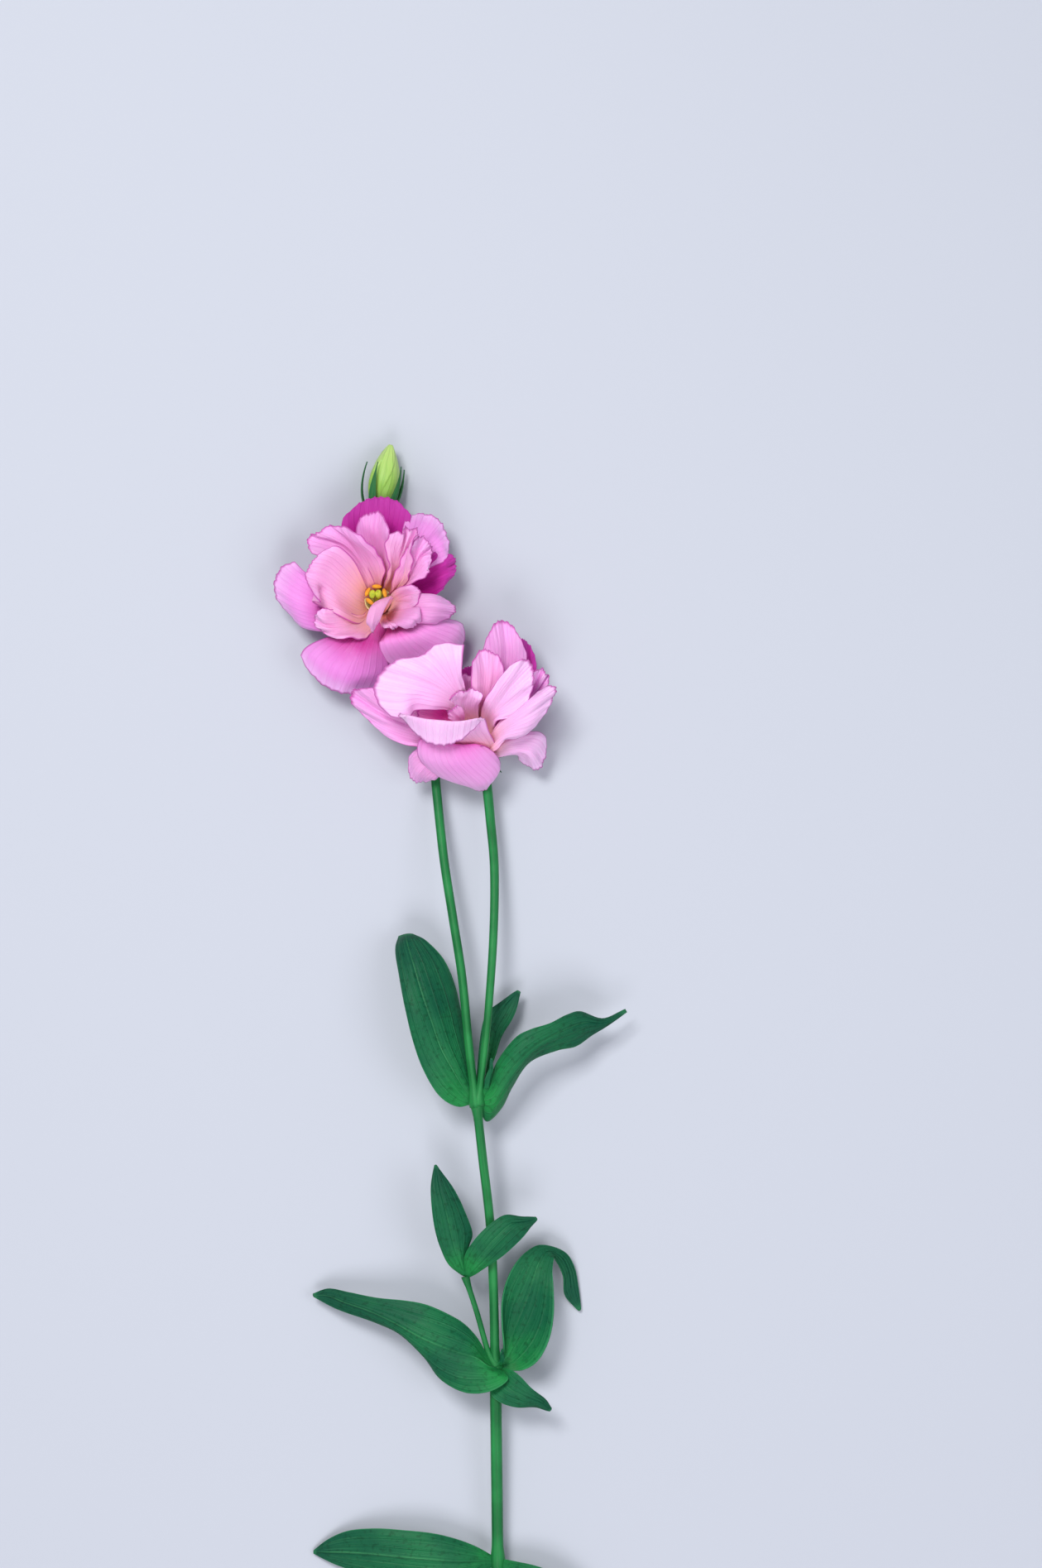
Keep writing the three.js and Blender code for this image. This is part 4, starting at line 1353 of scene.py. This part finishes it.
STALKS = (
    Stalk("main_lower", (2.2, 2.2), (
        (603, 2062, 2.3), (602, 1970, 5), (601, 1893, 8), (600, 1800, 10), (599, 1720, 12),
        (598, 1650, 13),
    )),
    Stalk("main_upper", (1.75, 1.7), (
        (598, 1660, 13), (596, 1560, 15.5), (592, 1480, 17.5), (583, 1400, 19.5), (575, 1328, 20),
    )),
    Stalk("left_branch", (1.6, 1.9), (
        (575, 1338, 20), (566, 1260, 21), (558, 1180, 19.5), (547, 1110, 17), (536, 1040, 13.5),
        (527, 960, 8.5), (519, 880, 4.6), (508, 818, 2.8), (490, 772, 2.4), (471, 744, 3.8),
        (461, 735, 7),
    )),
    Stalk("right_branch", (1.3, 2.0), (
        (577, 1335, 20), (583, 1290, 21.5), (590, 1220, 20.5), (596, 1130, 17.5), (597, 1050, 13),
        (592, 990, 11.4), (588, 950, 10.2), (585.5, 927, 10.5),
    )),
    Stalk("bud_stalk", (1.3, 1.5), (
        (520, 890, 5), (512, 820, 3.6), (499, 745, 3.4), (480, 685, 4.6), (461, 642, 7.4),
        (455, 622, 8.6),
    )),
    Stalk("side_shoot", (1.1, 1.0), (
        (598, 1652, 13.5), (589, 1634, 15), (576, 1587, 18), (562, 1543, 19.5),
    )),
)

SWELLINGS = (
    (601, 1893, 8, 2.9),
    (598, 1655, 13, 2.9),
    (575, 1332, 20, 2.7),
    (562, 1542, 19.4, 1.6),
)

LEAVES = (
    Leaf("upper_left", (
        ((571, 1334, 19), (575, 1331, 19.5), (577, 1327, 19)),
        ((552, 1337, 19), (563, 1318, 20), (571, 1308, 17.5)),
        ((530, 1323, 22), (548, 1293, 23.5), (566, 1284, 16.5)),
        ((511, 1291, 25), (533, 1264, 25.5), (561.5, 1255, 16)),
        ((499, 1256, 26), (522, 1232, 26), (556.5, 1222, 15.5)),
        ((491, 1218, 24.5), (511, 1200, 24.5), (549, 1188, 15)),
        ((484, 1178, 20), (501, 1167, 21.5), (536, 1160, 14.5)),
        ((478, 1148, 14), (492, 1141, 17), (515, 1139, 14)),
        ((481, 1133, 10), (490, 1130, 12), (498, 1130, 12)),
    )),
    Leaf("upper_right", (
        ((577, 1326, 19), (578, 1331, 19.5), (579, 1336, 19)),
        ((589, 1308, 20), (595, 1326, 22), (588, 1356, 15)),
        ((602, 1281, 22), (607, 1306, 24.5), (607, 1340, 15)),
        ((623, 1255, 24), (624, 1284, 26), (620, 1315, 17)),
        ((640, 1244.5, 25), (645, 1264, 26), (640, 1284, 20)),
        ((664, 1236.5, 24), (667, 1251, 24.5), (672, 1269, 19)),
        ((684.5, 1226, 21), (690, 1241, 22), (695, 1264, 16)),
        ((702, 1222, 18), (708, 1236, 19), (714, 1252, 14)),
        ((729, 1232, 14.5), (731, 1236.5, 15.5), (734, 1241, 14)),
        ((756, 1221, 12.5), (757, 1222.5, 12.7), (758, 1224, 12.5)),
    )),
    Leaf("upper_back", (
        ((575, 1326, 18.5), (578, 1326, 18.5), (581, 1326, 18.5)),
        ((576, 1294, 14), (586, 1288, 14.5), (596, 1284, 14)),
        ((581, 1255, 10.5), (593, 1250, 11.5), (606, 1256, 10)),
        ((588, 1228, 9), (603, 1228, 10), (618, 1235, 8.5)),
        ((605, 1212, 8), (614, 1213, 8.5), (624, 1219, 7.5)),
        ((625, 1199, 7), (627, 1199.5, 7), (629, 1201, 7)),
    )),
    Leaf("upper_twig", (
        ((581, 1326, 20), (583, 1326, 20.5), (585, 1326, 20)),
        ((586, 1308, 22.5), (589, 1308, 23), (592, 1309, 22.5)),
        ((590, 1294, 24), (592.5, 1293, 24.3), (595, 1294, 24)),
        ((593, 1278, 25), (594, 1278, 25), (595, 1278, 25)),
    )),
    Leaf("middle_left", (
        ((594, 1648, 13.5), (600, 1655, 15), (608, 1659, 15.5)),
        ((585, 1634, 15), (589, 1652, 18.4), (613, 1669, 18.6)),
        ((575, 1616, 16), (573, 1640, 20.4), (590, 1682, 18.6)),
        ((560, 1600, 16.5), (552, 1633, 21), (561, 1683, 17.4)),
        ((539, 1588, 17), (530, 1625, 21), (532, 1668, 17)),
        ((514, 1578, 17), (505, 1614, 20), (512, 1643, 17)),
        ((488, 1574, 15.5), (478, 1600, 17.5), (486, 1617, 16)),
        ((455, 1572, 13), (447, 1587, 14.5), (452, 1601, 13)),
        ((422, 1566, 10), (417, 1578, 11), (419, 1590, 10)),
        ((396, 1562, 7), (396, 1571, 7.5), (398, 1583, 7)),
        ((376, 1569, 5), (376, 1571, 5), (377, 1573, 5)),
    )),
    Leaf("middle_right", (
        ((601, 1649, 12.5), (603, 1652, 12), (604, 1657, 12.5)),
        ((608, 1636, 14), (613, 1634, 11), (629, 1659, 14)),
        ((606.5, 1608, 16), (621, 1608, 12), (650, 1646, 17)),
        ((607, 1577, 17), (629, 1588, 13), (664, 1620, 18)),
        ((613, 1550, 17), (637, 1568, 14), (669.5, 1590, 18)),
        ((624, 1528, 15), (644, 1548, 14), (669, 1560, 17)),
        ((638, 1514, 12), (651, 1529, 12.5), (667.5, 1537, 14)),
        ((654, 1509, 9), (661, 1516, 10), (670, 1523, 11)),
        ((682, 1518, 5.5), (678, 1523, 6.5), (673, 1529, 7.5)),
        ((694.5, 1538, 3), (688, 1542, 3.8), (681, 1548, 4.6)),
        ((700, 1564, 2), (692, 1567, 2.5), (683, 1572, 3)),
        ((703, 1589, 1.6), (701.5, 1591, 1.6), (699, 1591, 1.6)),
    )),
    Leaf("middle_front", (
        ((604, 1656, 12.5), (602, 1659, 12), (600, 1661, 12)),
        ((617, 1657, 15.5), (607, 1670, 15.2), (593, 1684, 15.6)),
        ((629, 1665, 17.5), (617, 1680, 18), (601, 1694, 16.5)),
        ((642, 1678, 18.5), (635, 1689, 18.5), (622, 1701, 16)),
        ((656, 1690, 17), (653, 1696, 17.5), (645, 1703, 15.5)),
        ((666, 1704, 15), (666, 1706, 15), (664, 1708, 15)),
    )),
    Leaf("middle_twig", (
        ((602, 1652, 14.5), (604, 1652, 15), (606, 1652, 14.5)),
        ((604, 1642, 17), (606.5, 1642, 17.4), (609, 1643, 17)),
        ((606, 1631, 19), (607, 1631, 19), (608, 1632, 19)),
    )),
    Leaf("shoot_left", (
        ((558, 1541, 19), (561, 1542, 19.5), (563, 1541, 19)),
        ((541, 1527, 20), (556, 1527, 21.5), (561, 1521, 19)),
        ((532, 1508, 22), (549, 1506, 23.5), (566, 1506, 20)),
        ((527, 1487, 23), (544, 1484, 24), (571, 1489, 20)),
        ((523, 1456, 23), (538, 1457, 24), (560, 1460, 20)),
        ((521, 1430, 21), (531, 1433, 22), (546, 1436, 19)),
        ((525, 1409, 19), (526.5, 1408, 19), (528, 1410, 19)),
    )),
    Leaf("shoot_right", (
        ((561, 1541, 19), (563, 1543, 19.5), (566, 1544, 19)),
        ((562, 1518, 22), (573, 1526, 23), (581, 1536, 21)),
        ((573, 1499, 24), (588, 1506, 25), (604, 1520, 22)),
        ((590, 1480, 24), (603, 1490, 25), (622, 1503, 22)),
        ((610, 1467, 23), (618, 1478, 24), (635, 1490, 21)),
        ((632, 1471, 20), (635, 1476, 20.5), (642, 1483, 19)),
        ((647, 1471.5, 18), (648.5, 1473, 18), (649, 1475, 18)),
    )),
    Leaf("lower_left", (
        ((597, 1889, 8), (600, 1893, 8.5), (601, 1897, 8)),
        ((575, 1875, 10), (575, 1891, 11.5), (577, 1908, 9)),
        ((552, 1865, 11), (550, 1890, 13), (552, 1918, 9)),
        ((524, 1858, 11.5), (522, 1888, 13), (523, 1923, 9)),
        ((490, 1855, 10.5), (488, 1886, 11.5), (488, 1921, 8)),
        ((454, 1854, 8), (452, 1884, 9), (452, 1914, 6)),
        ((420, 1858, 5), (418, 1884, 5.5), (418, 1905, 4)),
        ((395, 1869, 3), (393, 1885, 3), (394, 1896, 2.5)),
        ((376, 1884, 1.5), (376, 1886, 1.5), (376, 1888, 1.5)),
    )),
    Leaf("lower_right", (
        ((601, 1890, 8), (602, 1894, 8.5), (602, 1899, 8)),
        ((622, 1893, 10), (622, 1903, 11), (614, 1916, 9)),
        ((648, 1897, 12), (645, 1915, 13), (636, 1938, 10)),
        ((676, 1908, 12), (671, 1931, 13), (660, 1957, 9)),
        ((702, 1926, 10), (697, 1948, 10.5), (684, 1972, 7)),
        ((722, 1948, 6.5), (716, 1964, 7), (705, 1982, 4.5)),
        ((737, 1972, 3), (733, 1980, 3), (725, 1989, 2.5)),
        ((745, 1995, 1.5), (743, 1997, 1.5), (741, 1998, 1.5)),
    )),
)

LEFT_PETALS = (
    Petal("scoop", Whorl.INNER, 170, (
        ((436, 752, 19), (434, 728, 16), (441, 706, 21)),
        ((414, 744, 27), (412, 712, 22), (427, 682, 30)),
        ((392, 727, 33), (391, 696, 27), (411, 667, 34)),
        ((377, 707, 33), (375, 690, 31), (391, 666, 33)),
    ), ruffle=0.5, waves=4, phase=0.4, nick=(-1, 0.68, 7.0)),
    Petal("far_left", Whorl.MIDDLE, 128, (
        ((438, 714, 18), (450, 706, 17), (461, 703, 21)),
        ((418, 692, 22), (436, 680, 20), (457, 682, 28)),
        ((394, 677, 25), (416, 657, 24), (445, 662, 32)),
        ((360, 663, 24), (385, 645, 26), (430, 634, 33)),
    ), ruffle=1.3, waves=7, phase=1.9),
    Petal("far_middle", Whorl.MIDDLE, 98, (
        ((452, 704, 18), (460, 700, 17), (468, 703, 20)),
        ((442, 676, 22), (456, 670, 20), (470, 676, 26)),
        ((436, 650, 27), (452, 643, 25), (472, 652, 31)),
        ((438, 630, 31), (452, 623, 30), (467, 631, 34)),
    ), ruffle=0.7, waves=5, phase=3.0),
    Petal("far_outer", Whorl.SHADED, 90, (
        ((446, 704, 15), (458, 698, 13), (470, 702, 15)),
        ((428, 672, 18), (455, 662, 15), (482, 670, 18)),
        ((415, 640, 21), (454, 628, 17), (492, 636, 21)),
        ((422, 612, 20), (456, 600, 17), (494, 606, 20)),
    ), ruffle=0.8, waves=4, phase=0.9),
    Petal("far_right_outer", Whorl.OUTER_SHADED_ROOT, 52, (
        ((464, 706, 15), (472, 706, 14), (476, 714, 15)),
        ((482, 672, 19), (496, 676, 16), (505, 694, 18)),
        ((490, 634, 21), (518, 648, 18), (534, 680, 20)),
        ((496, 612, 18), (532, 629, 16), (551, 672, 17)),
    ), ruffle=0.9, waves=5, phase=2.2),
    Petal("fold_far", Whorl.INNER, 66, (
        ((466, 706, 21), (474, 704, 19), (482, 712, 21)),
        ((470, 680, 29), (482, 682, 25), (490, 690, 29)),
        ((474, 658, 34), (489, 664, 29), (499, 668, 34)),
        ((483, 645, 35), (495, 643, 33), (507, 640, 35)),
    ), ruffle=1.5, waves=8, phase=0.2),
    Petal("fold_right", Whorl.MIDDLE, 32, (
        ((474, 712, 21), (482, 712, 19), (486, 718, 21)),
        ((488, 688, 29), (496, 692, 25), (502, 704, 28)),
        ((496, 662, 33), (508, 672, 29), (514, 690, 32)),
        ((507, 650, 34), (520, 660, 30), (524, 684, 31)),
    ), ruffle=1.4, waves=8, phase=2.9),
    Petal("right_outer", Whorl.SHADED, 20, (
        ((474, 716, 15), (480, 720, 14), (482, 728, 15)),
        ((500, 694, 19), (508, 706, 17), (508, 722, 18)),
        ((522, 672, 21), (534, 690, 19), (532, 712, 20)),
        ((540, 662, 19), (552, 680, 17), (546, 704, 18)),
    ), ruffle=1.0, waves=6, phase=4.4),
    Petal("throat_fold", Whorl.INNER, 345, (
        ((470, 722, 17), (472, 730, 15), (470, 738, 17)),
        ((481, 714, 24), (485, 724, 20), (482, 735, 24)),
        ((492, 711, 29), (496, 721, 25), (497, 732, 28)),
        ((503, 712, 31), (505, 719, 30), (504, 726, 31)),
    ), ruffle=0.3, waves=4, phase=0.0),
    Petal("throat_lobe", Whorl.INNER, 268, (
        ((467, 736, 20), (458, 737, 21), (449, 738, 20)),
        ((475, 722, 28), (465, 725, 30), (453, 730, 29)),
        ((470, 733, 33), (458, 733, 35), (445, 740, 33)),
        ((462, 752, 32), (452, 752, 34), (442, 755, 32)),
        ((458, 765, 29), (451, 767, 30), (445, 764, 29)),
    ), ruffle=0.3, waves=4, phase=1.0),
    Petal("right_roll", Whorl.MIDDLE, 352, (
        ((478, 724, 18), (480, 734, 17), (478, 744, 18)),
        ((498, 718, 25), (500, 734, 27), (496, 750, 22)),
        ((520, 716, 27), (524, 734, 31), (514, 756, 25)),
        ((546, 719, 24), (552, 738, 26), (544, 758, 22)),
    ), ruffle=0.6, waves=5, phase=2.0),
    Petal("near_right_roll", Whorl.MIDDLE, 318, (
        ((476, 738, 20), (472, 746, 20), (466, 750, 20)),
        ((492, 734, 27), (487, 748, 29), (474, 756, 26)),
        ((508, 732, 30), (502, 750, 32), (484, 760, 27)),
        ((514, 742, 27), (508, 757, 27), (494, 763, 25)),
    ), ruffle=0.5, waves=5, phase=3.6),
    Petal("near_tuft", Whorl.INNER, 292, (
        ((468, 748, 20), (464, 750, 22), (458, 750, 20)),
        ((478, 752, 26), (472, 756, 28), (463, 756, 26)),
        ((485, 757, 26), (476, 762, 27), (466, 762, 25)),
    ), ruffle=0.8, waves=7, phase=0.7),
    Petal("near_left", Whorl.INNER, 222, (
        ((450, 757, 18), (441, 750, 16), (436, 743, 18)),
        ((440, 768, 24), (421, 757, 22), (415, 742, 25)),
        ((420, 773, 27), (400, 760, 25), (396, 740, 29)),
        ((394, 770, 25), (380, 754, 25), (384, 734, 28)),
    ), ruffle=1.2, waves=7, phase=2.6),
    Petal("near_left_outer", Whorl.OUTER_SHADED_ROOT, 244, (
        ((468, 754, 15), (448, 760, 17), (430, 754, 15)),
        ((472, 776, 16), (436, 785, 24), (398, 766, 19)),
        ((476, 806, 12), (424, 812, 22), (366, 782, 16)),
        ((470, 834, 9), (412, 839, 15), (356, 806, 13)),
    ), ruffle=0.4, waves=3, phase=0.3),
    Petal("near_right_outer", Whorl.LIT, 312, (
        ((486, 742, 16), (478, 752, 17), (466, 757, 16)),
        ((518, 744, 21), (500, 766, 25), (457, 776, 23)),
        ((552, 748, 18), (530, 783, 21), (464, 801, 18)),
        ((573, 762, 12), (546, 800, 12), (490, 816, 12)),
    ), ruffle=0.5, waves=3, phase=1.4),
    Petal("left_outer", Whorl.OUTER_SHADED_ROOT, 192, (
        ((438, 752, 15), (434, 738, 14), (436, 726, 15)),
        ((404, 764, 18), (398, 740, 19), (402, 712, 19)),
        ((372, 764, 15), (362, 728, 20), (368, 690, 20)),
        ((348, 754, 11), (329, 710, 15), (342, 664, 17)),
    ), ruffle=0.6, waves=4, phase=2.1),
)

RIGHT_PETALS = (
    Petal("far_left", Whorl.PALE, 118, (
        ((561, 872, 21), (567, 865, 19), (573, 863, 20)),
        ((534, 856, 33), (546, 840, 30), (559, 830, 33)),
        ((496, 869, 38), (511, 820, 36.5), (560, 796, 39)),
        ((446, 862, 33), (470, 806, 36.5), (563, 765, 40)),
    ), ruffle=0.9, waves=7, phase=0.5, nick=(-1, 0.72, 3.5), cleft=(0.4, 3.6)),
    Petal("left_outer", Whorl.MIDDLE, 182, (
        ((556, 908, 20), (553, 898, 18), (556, 886, 20)),
        ((520, 906, 24), (510, 884, 22), (508, 858, 25)),
        ((484, 898, 25), (468, 868, 24), (470, 840, 27)),
        ((444, 876, 23), (423, 842, 23), (446, 826, 27)),
    ), ruffle=1.2, waves=7, phase=3.3),
    Petal("near_roll", Whorl.PALE, 264, (
        ((598, 902, 21), (574, 908, 22), (552, 906, 21)),
        ((590, 882, 31), (545, 888, 34), (508, 882, 31)),
        ((584, 867, 37), (538, 873, 42), (484, 862, 38)),
        ((582, 884, 37), (535, 903, 38), (487, 884, 35)),
    ), ruffle=0.3, waves=4, phase=0.6),
    Petal("near_outer", Whorl.LIT, 286, (
        ((594, 906, 19), (574, 912, 22), (552, 908, 20)),
        ((580, 898, 28), (548, 900, 31), (512, 890, 29)),
        ((599, 910, 24), (554, 922, 29), (503, 914, 26)),
        ((608, 926, 17), (578, 946, 20), (522, 938, 19)),
        ((598, 944, 12), (584, 958, 13), (556, 953, 14)),
    ), ruffle=0.3, waves=3, phase=1.7),
    Petal("far_upright", Whorl.INNER, 76, (
        ((572, 872, 18), (580, 870, 17), (589, 874, 18)),
        ((574, 848, 30), (588, 846, 26), (600, 852, 29)),
        ((574, 818, 35), (594, 820, 29), (607, 832, 33)),
        ((577, 786, 37), (594, 790, 33), (608, 812, 35)),
    ), ruffle=0.7, waves=5, phase=2.4),
    Petal("far_outer", Whorl.MIDDLE, 72, (
        ((578, 886, 14.5), (588, 884, 13.5), (598, 891, 14)),
        ((584, 852, 22), (600, 848, 18), (616, 854, 18)),
        ((588, 806, 25), (610, 798, 22), (634, 808, 22)),
        ((584, 766, 26), (608, 751, 24), (636, 771, 23)),
    ), ruffle=0.9, waves=5, phase=4.1),
    Petal("far_right_outer", Whorl.SHADED, 58, (
        ((590, 890, 15), (600, 890, 12), (606, 896, 13)),
        ((606, 850, 18), (622, 850, 14), (634, 858, 15)),
        ((618, 808, 20), (634, 806, 16), (646, 818, 16)),
        ((624, 780, 20), (634, 773, 17), (642, 790, 17)),
    ), ruffle=1.0, waves=6, phase=1.2),
    Petal("right_fan", Whorl.PALE, 36, (
        ((582, 876, 19), (590, 880, 18), (596, 886, 20)),
        ((588, 852, 31), (598, 860, 27), (600, 872, 28)),
        ((606, 822, 35), (616, 838, 32), (624, 866, 30)),
        ((630, 786, 36), (644, 812, 34), (641, 852, 32)),
    ), ruffle=0.9, waves=6, phase=0.1),
    Petal("right", Whorl.PALE, 8, (
        ((592, 890, 23), (594, 898, 22), (592, 908, 22)),
        ((610, 868, 29), (612, 880, 28), (606, 896, 27)),
        ((634, 846, 30), (640, 862, 32), (626, 895, 27)),
        ((664, 819, 29), (672, 842, 29), (648, 882, 26)),
    ), ruffle=0.7, waves=5, phase=3.9),
    Petal("right_outer", Whorl.LIT, 40, (
        ((592, 886, 17), (602, 890, 15), (606, 898, 15)),
        ((616, 850, 21), (628, 858, 18), (630, 872, 18)),
        ((636, 820, 24), (648, 834, 21), (650, 852, 20)),
        ((645, 806, 25), (660, 816, 24), (664, 836, 22)),
    ), ruffle=1.4, waves=9, phase=2.7),
    Petal("throat_streak", Whorl.INNER, 140, (
        ((558, 892, 19), (558, 885, 18), (562, 879, 17)),
        ((552, 876, 27), (557, 870, 28), (563, 866, 28)),
        ((539, 871, 31), (548, 860, 33), (558, 852, 33)),
    ), ruffle=0.4, waves=4, phase=0.8),
    Petal("throat_wall", Whorl.SHADED_THROAT, 168, (
        ((560, 903, 18), (558, 890, 17), (562, 874, 18)),
        ((540, 894, 24), (536, 872, 22), (550, 848, 25)),
        ((518, 886, 29), (506, 862, 27), (518, 832, 29)),
    ), ruffle=0.4, waves=4, phase=2.6),
    Petal("throat_rim", Whorl.PALE, 98, (
        ((561, 882, 18), (569, 876, 17), (578, 876, 18)),
        ((544, 862, 28), (560, 856, 25), (576, 856, 28)),
        ((541, 852, 29), (559, 844, 29), (582, 846, 33)),
        ((549, 846, 30), (563, 839, 33), (582, 838, 35)),
    ), ruffle=0.6, waves=6, phase=1.5),
    Petal("far_inner", Whorl.INNER, 84, (
        ((566, 874, 16), (576, 870, 15), (586, 874, 16)),
        ((556, 850, 25), (574, 842, 22), (590, 846, 24)),
        ((553, 832, 29), (572, 825, 25), (590, 832, 26)),
        ((560, 823, 30), (573, 818, 27), (585, 825, 27)),
    ), ruffle=0.8, waves=6, phase=3.1),
    Petal("near_right_outer", Whorl.PALE, 335, (
        ((601, 903, 19), (598, 910, 18), (593, 916, 18)),
        ((622, 890, 19), (616, 906, 18), (606, 914, 16)),
        ((650, 884, 18), (640, 908, 18), (622, 914, 14)),
        ((668, 900, 13), (655, 928, 11), (627, 932, 9)),
    ), ruffle=0.8, waves=5, phase=0.4),
    Petal("far_shaded", Whorl.SHADED, 95, (
        ((568, 886, 16), (578, 880, 14), (588, 884, 14)),
        ((556, 846, 20), (574, 838, 17), (592, 842, 17)),
        ((556, 814, 23), (568, 806, 20), (582, 810, 19)),
    ), ruffle=0.7, waves=5, phase=2.0),
    Petal("near_left_outer", Whorl.MIDDLE, 232, (
        ((572, 914, 18), (560, 912, 18), (550, 904, 18)),
        ((548, 924, 21), (532, 914, 23), (522, 898, 23)),
        ((530, 942, 17), (510, 930, 20), (500, 908, 22)),
        ((522, 950, 13), (500, 946, 14), (486, 926, 18)),
    ), ruffle=0.6, waves=4, phase=1.1),
)

LEFT_BLOOM = Bloom("left", BloomFrame((459, 733, 8), (-0.12, 0.34, 0.93)), LEFT_PETALS,
                   Sepals(19.0, (70.0, 78.0, 84.0)), Heart(12.6, 3.2, 13.8))
RIGHT_BLOOM = Bloom("right", BloomFrame((585, 918, 12), (-0.26, 0.72, 0.64)), RIGHT_PETALS,
                    Sepals(6.0, (80.0, 125.0, 140.0)), Heart(8.8, 2.4, 11.2))
BUD_BASE = (455, 617, 9.2)
BUD_TIP = (474, 520, 8.2)
BUD = Bud(BloomFrame(BUD_BASE, tuple((PLAN.point(BUD_TIP) - PLAN.point(BUD_BASE)).normalized())))


# ------------------------------------------------------------------ studio


@dataclass(frozen=True)
class SoftLight:
    """A soft square light.

    Attributes:
        name: its name.
        place: where it hangs, in metres.
        size: its side in metres.
        power: its power in watts.
        tint: its colour.
    """

    name: str
    place: tuple[float, float, float]
    size: float
    power: float
    tint: tuple[float, float, float]

    def hang(self, aim: Vector) -> None:
        """Hangs the light.

        Args:
            aim: the point that it faces.
        """
        data = bpy.data.lights.new(self.name, "AREA")
        data.shape = "SQUARE"
        data.size = self.size
        data.energy = self.power
        data.color = self.tint
        light = put_in_scene(self.name, data)
        light.location = self.place
        light.rotation_mode = "QUATERNION"
        light.rotation_quaternion = (aim - Vector(self.place)).to_track_quat("-Z", "Y")


@dataclass(frozen=True)
class Studio:
    """The pale surface, soft lights and the camera that looks straight down.

    Attributes:
        view_centre: plan point in the middle of the picture.
        view_height: plan units from the bottom of the picture to its top.
        lens: focal length in millimetres.
        sensor: longer side of the sensor in millimetres.
        focus_height: height in metres that the framing is exact at.
        surface_half: half the side of the pale surface in metres.
        surface_tint: its colour.
        room_tint: colour of the even light that fills the room.
        room_light: strength of that light.
        lights: the lights that hang over the stem.
    """

    view_centre: tuple[float, float] = (629.5, 947.5)
    view_height: float = 1895.0
    lens: float = 100.0
    sensor: float = 36.0
    focus_height: float = 0.02
    surface_half: float = 3.0
    surface_tint: str = "C0C5D0"
    room_tint: tuple[float, float, float, float] = (0.9, 0.92, 1.0, 1.0)
    room_light: float = 0.32
    lights: Sequence[SoftLight] = (
        SoftLight("key", (-0.4, 0.7, 1.4), 0.5, 17.0, (1.0, 0.985, 0.97)),
        SoftLight("fill", (0.8, -0.1, 1.2), 0.8, 4.5, (0.95, 0.96, 1.0)),
        SoftLight("front", (-0.1, -0.8, 1.2), 0.7, 7.5, (1.0, 0.98, 1.0)),
    )

    def build(self) -> None:
        """Lays the surface, hangs the lights and places the camera."""
        centre = PLAN.point((*self.view_centre, 0.0))
        self._surface()
        for light in self.lights:
            light.hang(centre)
        self._room()
        self._camera(centre)

    def _camera(self, centre: Vector) -> None:
        """Places the camera over the middle of the picture.

        Args:
            centre: the point that it looks down on.
        """
        data = bpy.data.cameras.new("camera")
        data.lens = self.lens
        data.sensor_width = self.sensor
        data.clip_start = 0.05
        data.clip_end = 20.0
        distance = self.view_height * PLAN.unit * MM * self.lens / self.sensor
        camera = put_in_scene("camera", data)
        camera.location = (centre.x, centre.y, self.focus_height + distance)
        bpy.context.scene.camera = camera
        bpy.context.scene.view_settings.view_transform = "Standard"

    def _surface(self) -> None:
        """Lays the pale surface that the stem lies on."""
        shape = bmesh.new()
        bmesh.ops.create_grid(shape, x_segments=1, y_segments=1, size=self.surface_half)
        data = bpy.data.meshes.new("surface")
        shape.to_mesh(data)
        shape.free()
        material, sheet = empty_material("PaleSurface")
        shader = sheet.add("BsdfPrincipled", {"Base Color": colour(self.surface_tint), "Roughness": 0.9})
        sheet.add("OutputMaterial", {"Surface": shader.outputs[0]})
        data.materials.append(material)
        put_in_scene("surface", data)

    def _room(self) -> None:
        """Fills the room with an even pale light."""
        world = bpy.data.worlds.new("room")
        world.use_nodes = True
        background = world.node_tree.nodes["Background"]
        background.inputs["Color"].default_value = self.room_tint
        background.inputs["Strength"].default_value = self.room_light
        bpy.context.scene.world = world


def main() -> None:
    """Builds the stem, the blooms, the bud and the studio."""
    logging.basicConfig(level=logging.INFO, format="%(message)s")
    shop = Workshop()
    LeafyStem(STALKS, SWELLINGS, LEAVES).build(shop)
    for bloom in (LEFT_BLOOM, RIGHT_BLOOM):
        bloom.build(shop)
    BUD.build(shop)
    Studio().build()


if __name__ == "__main__":
    main()
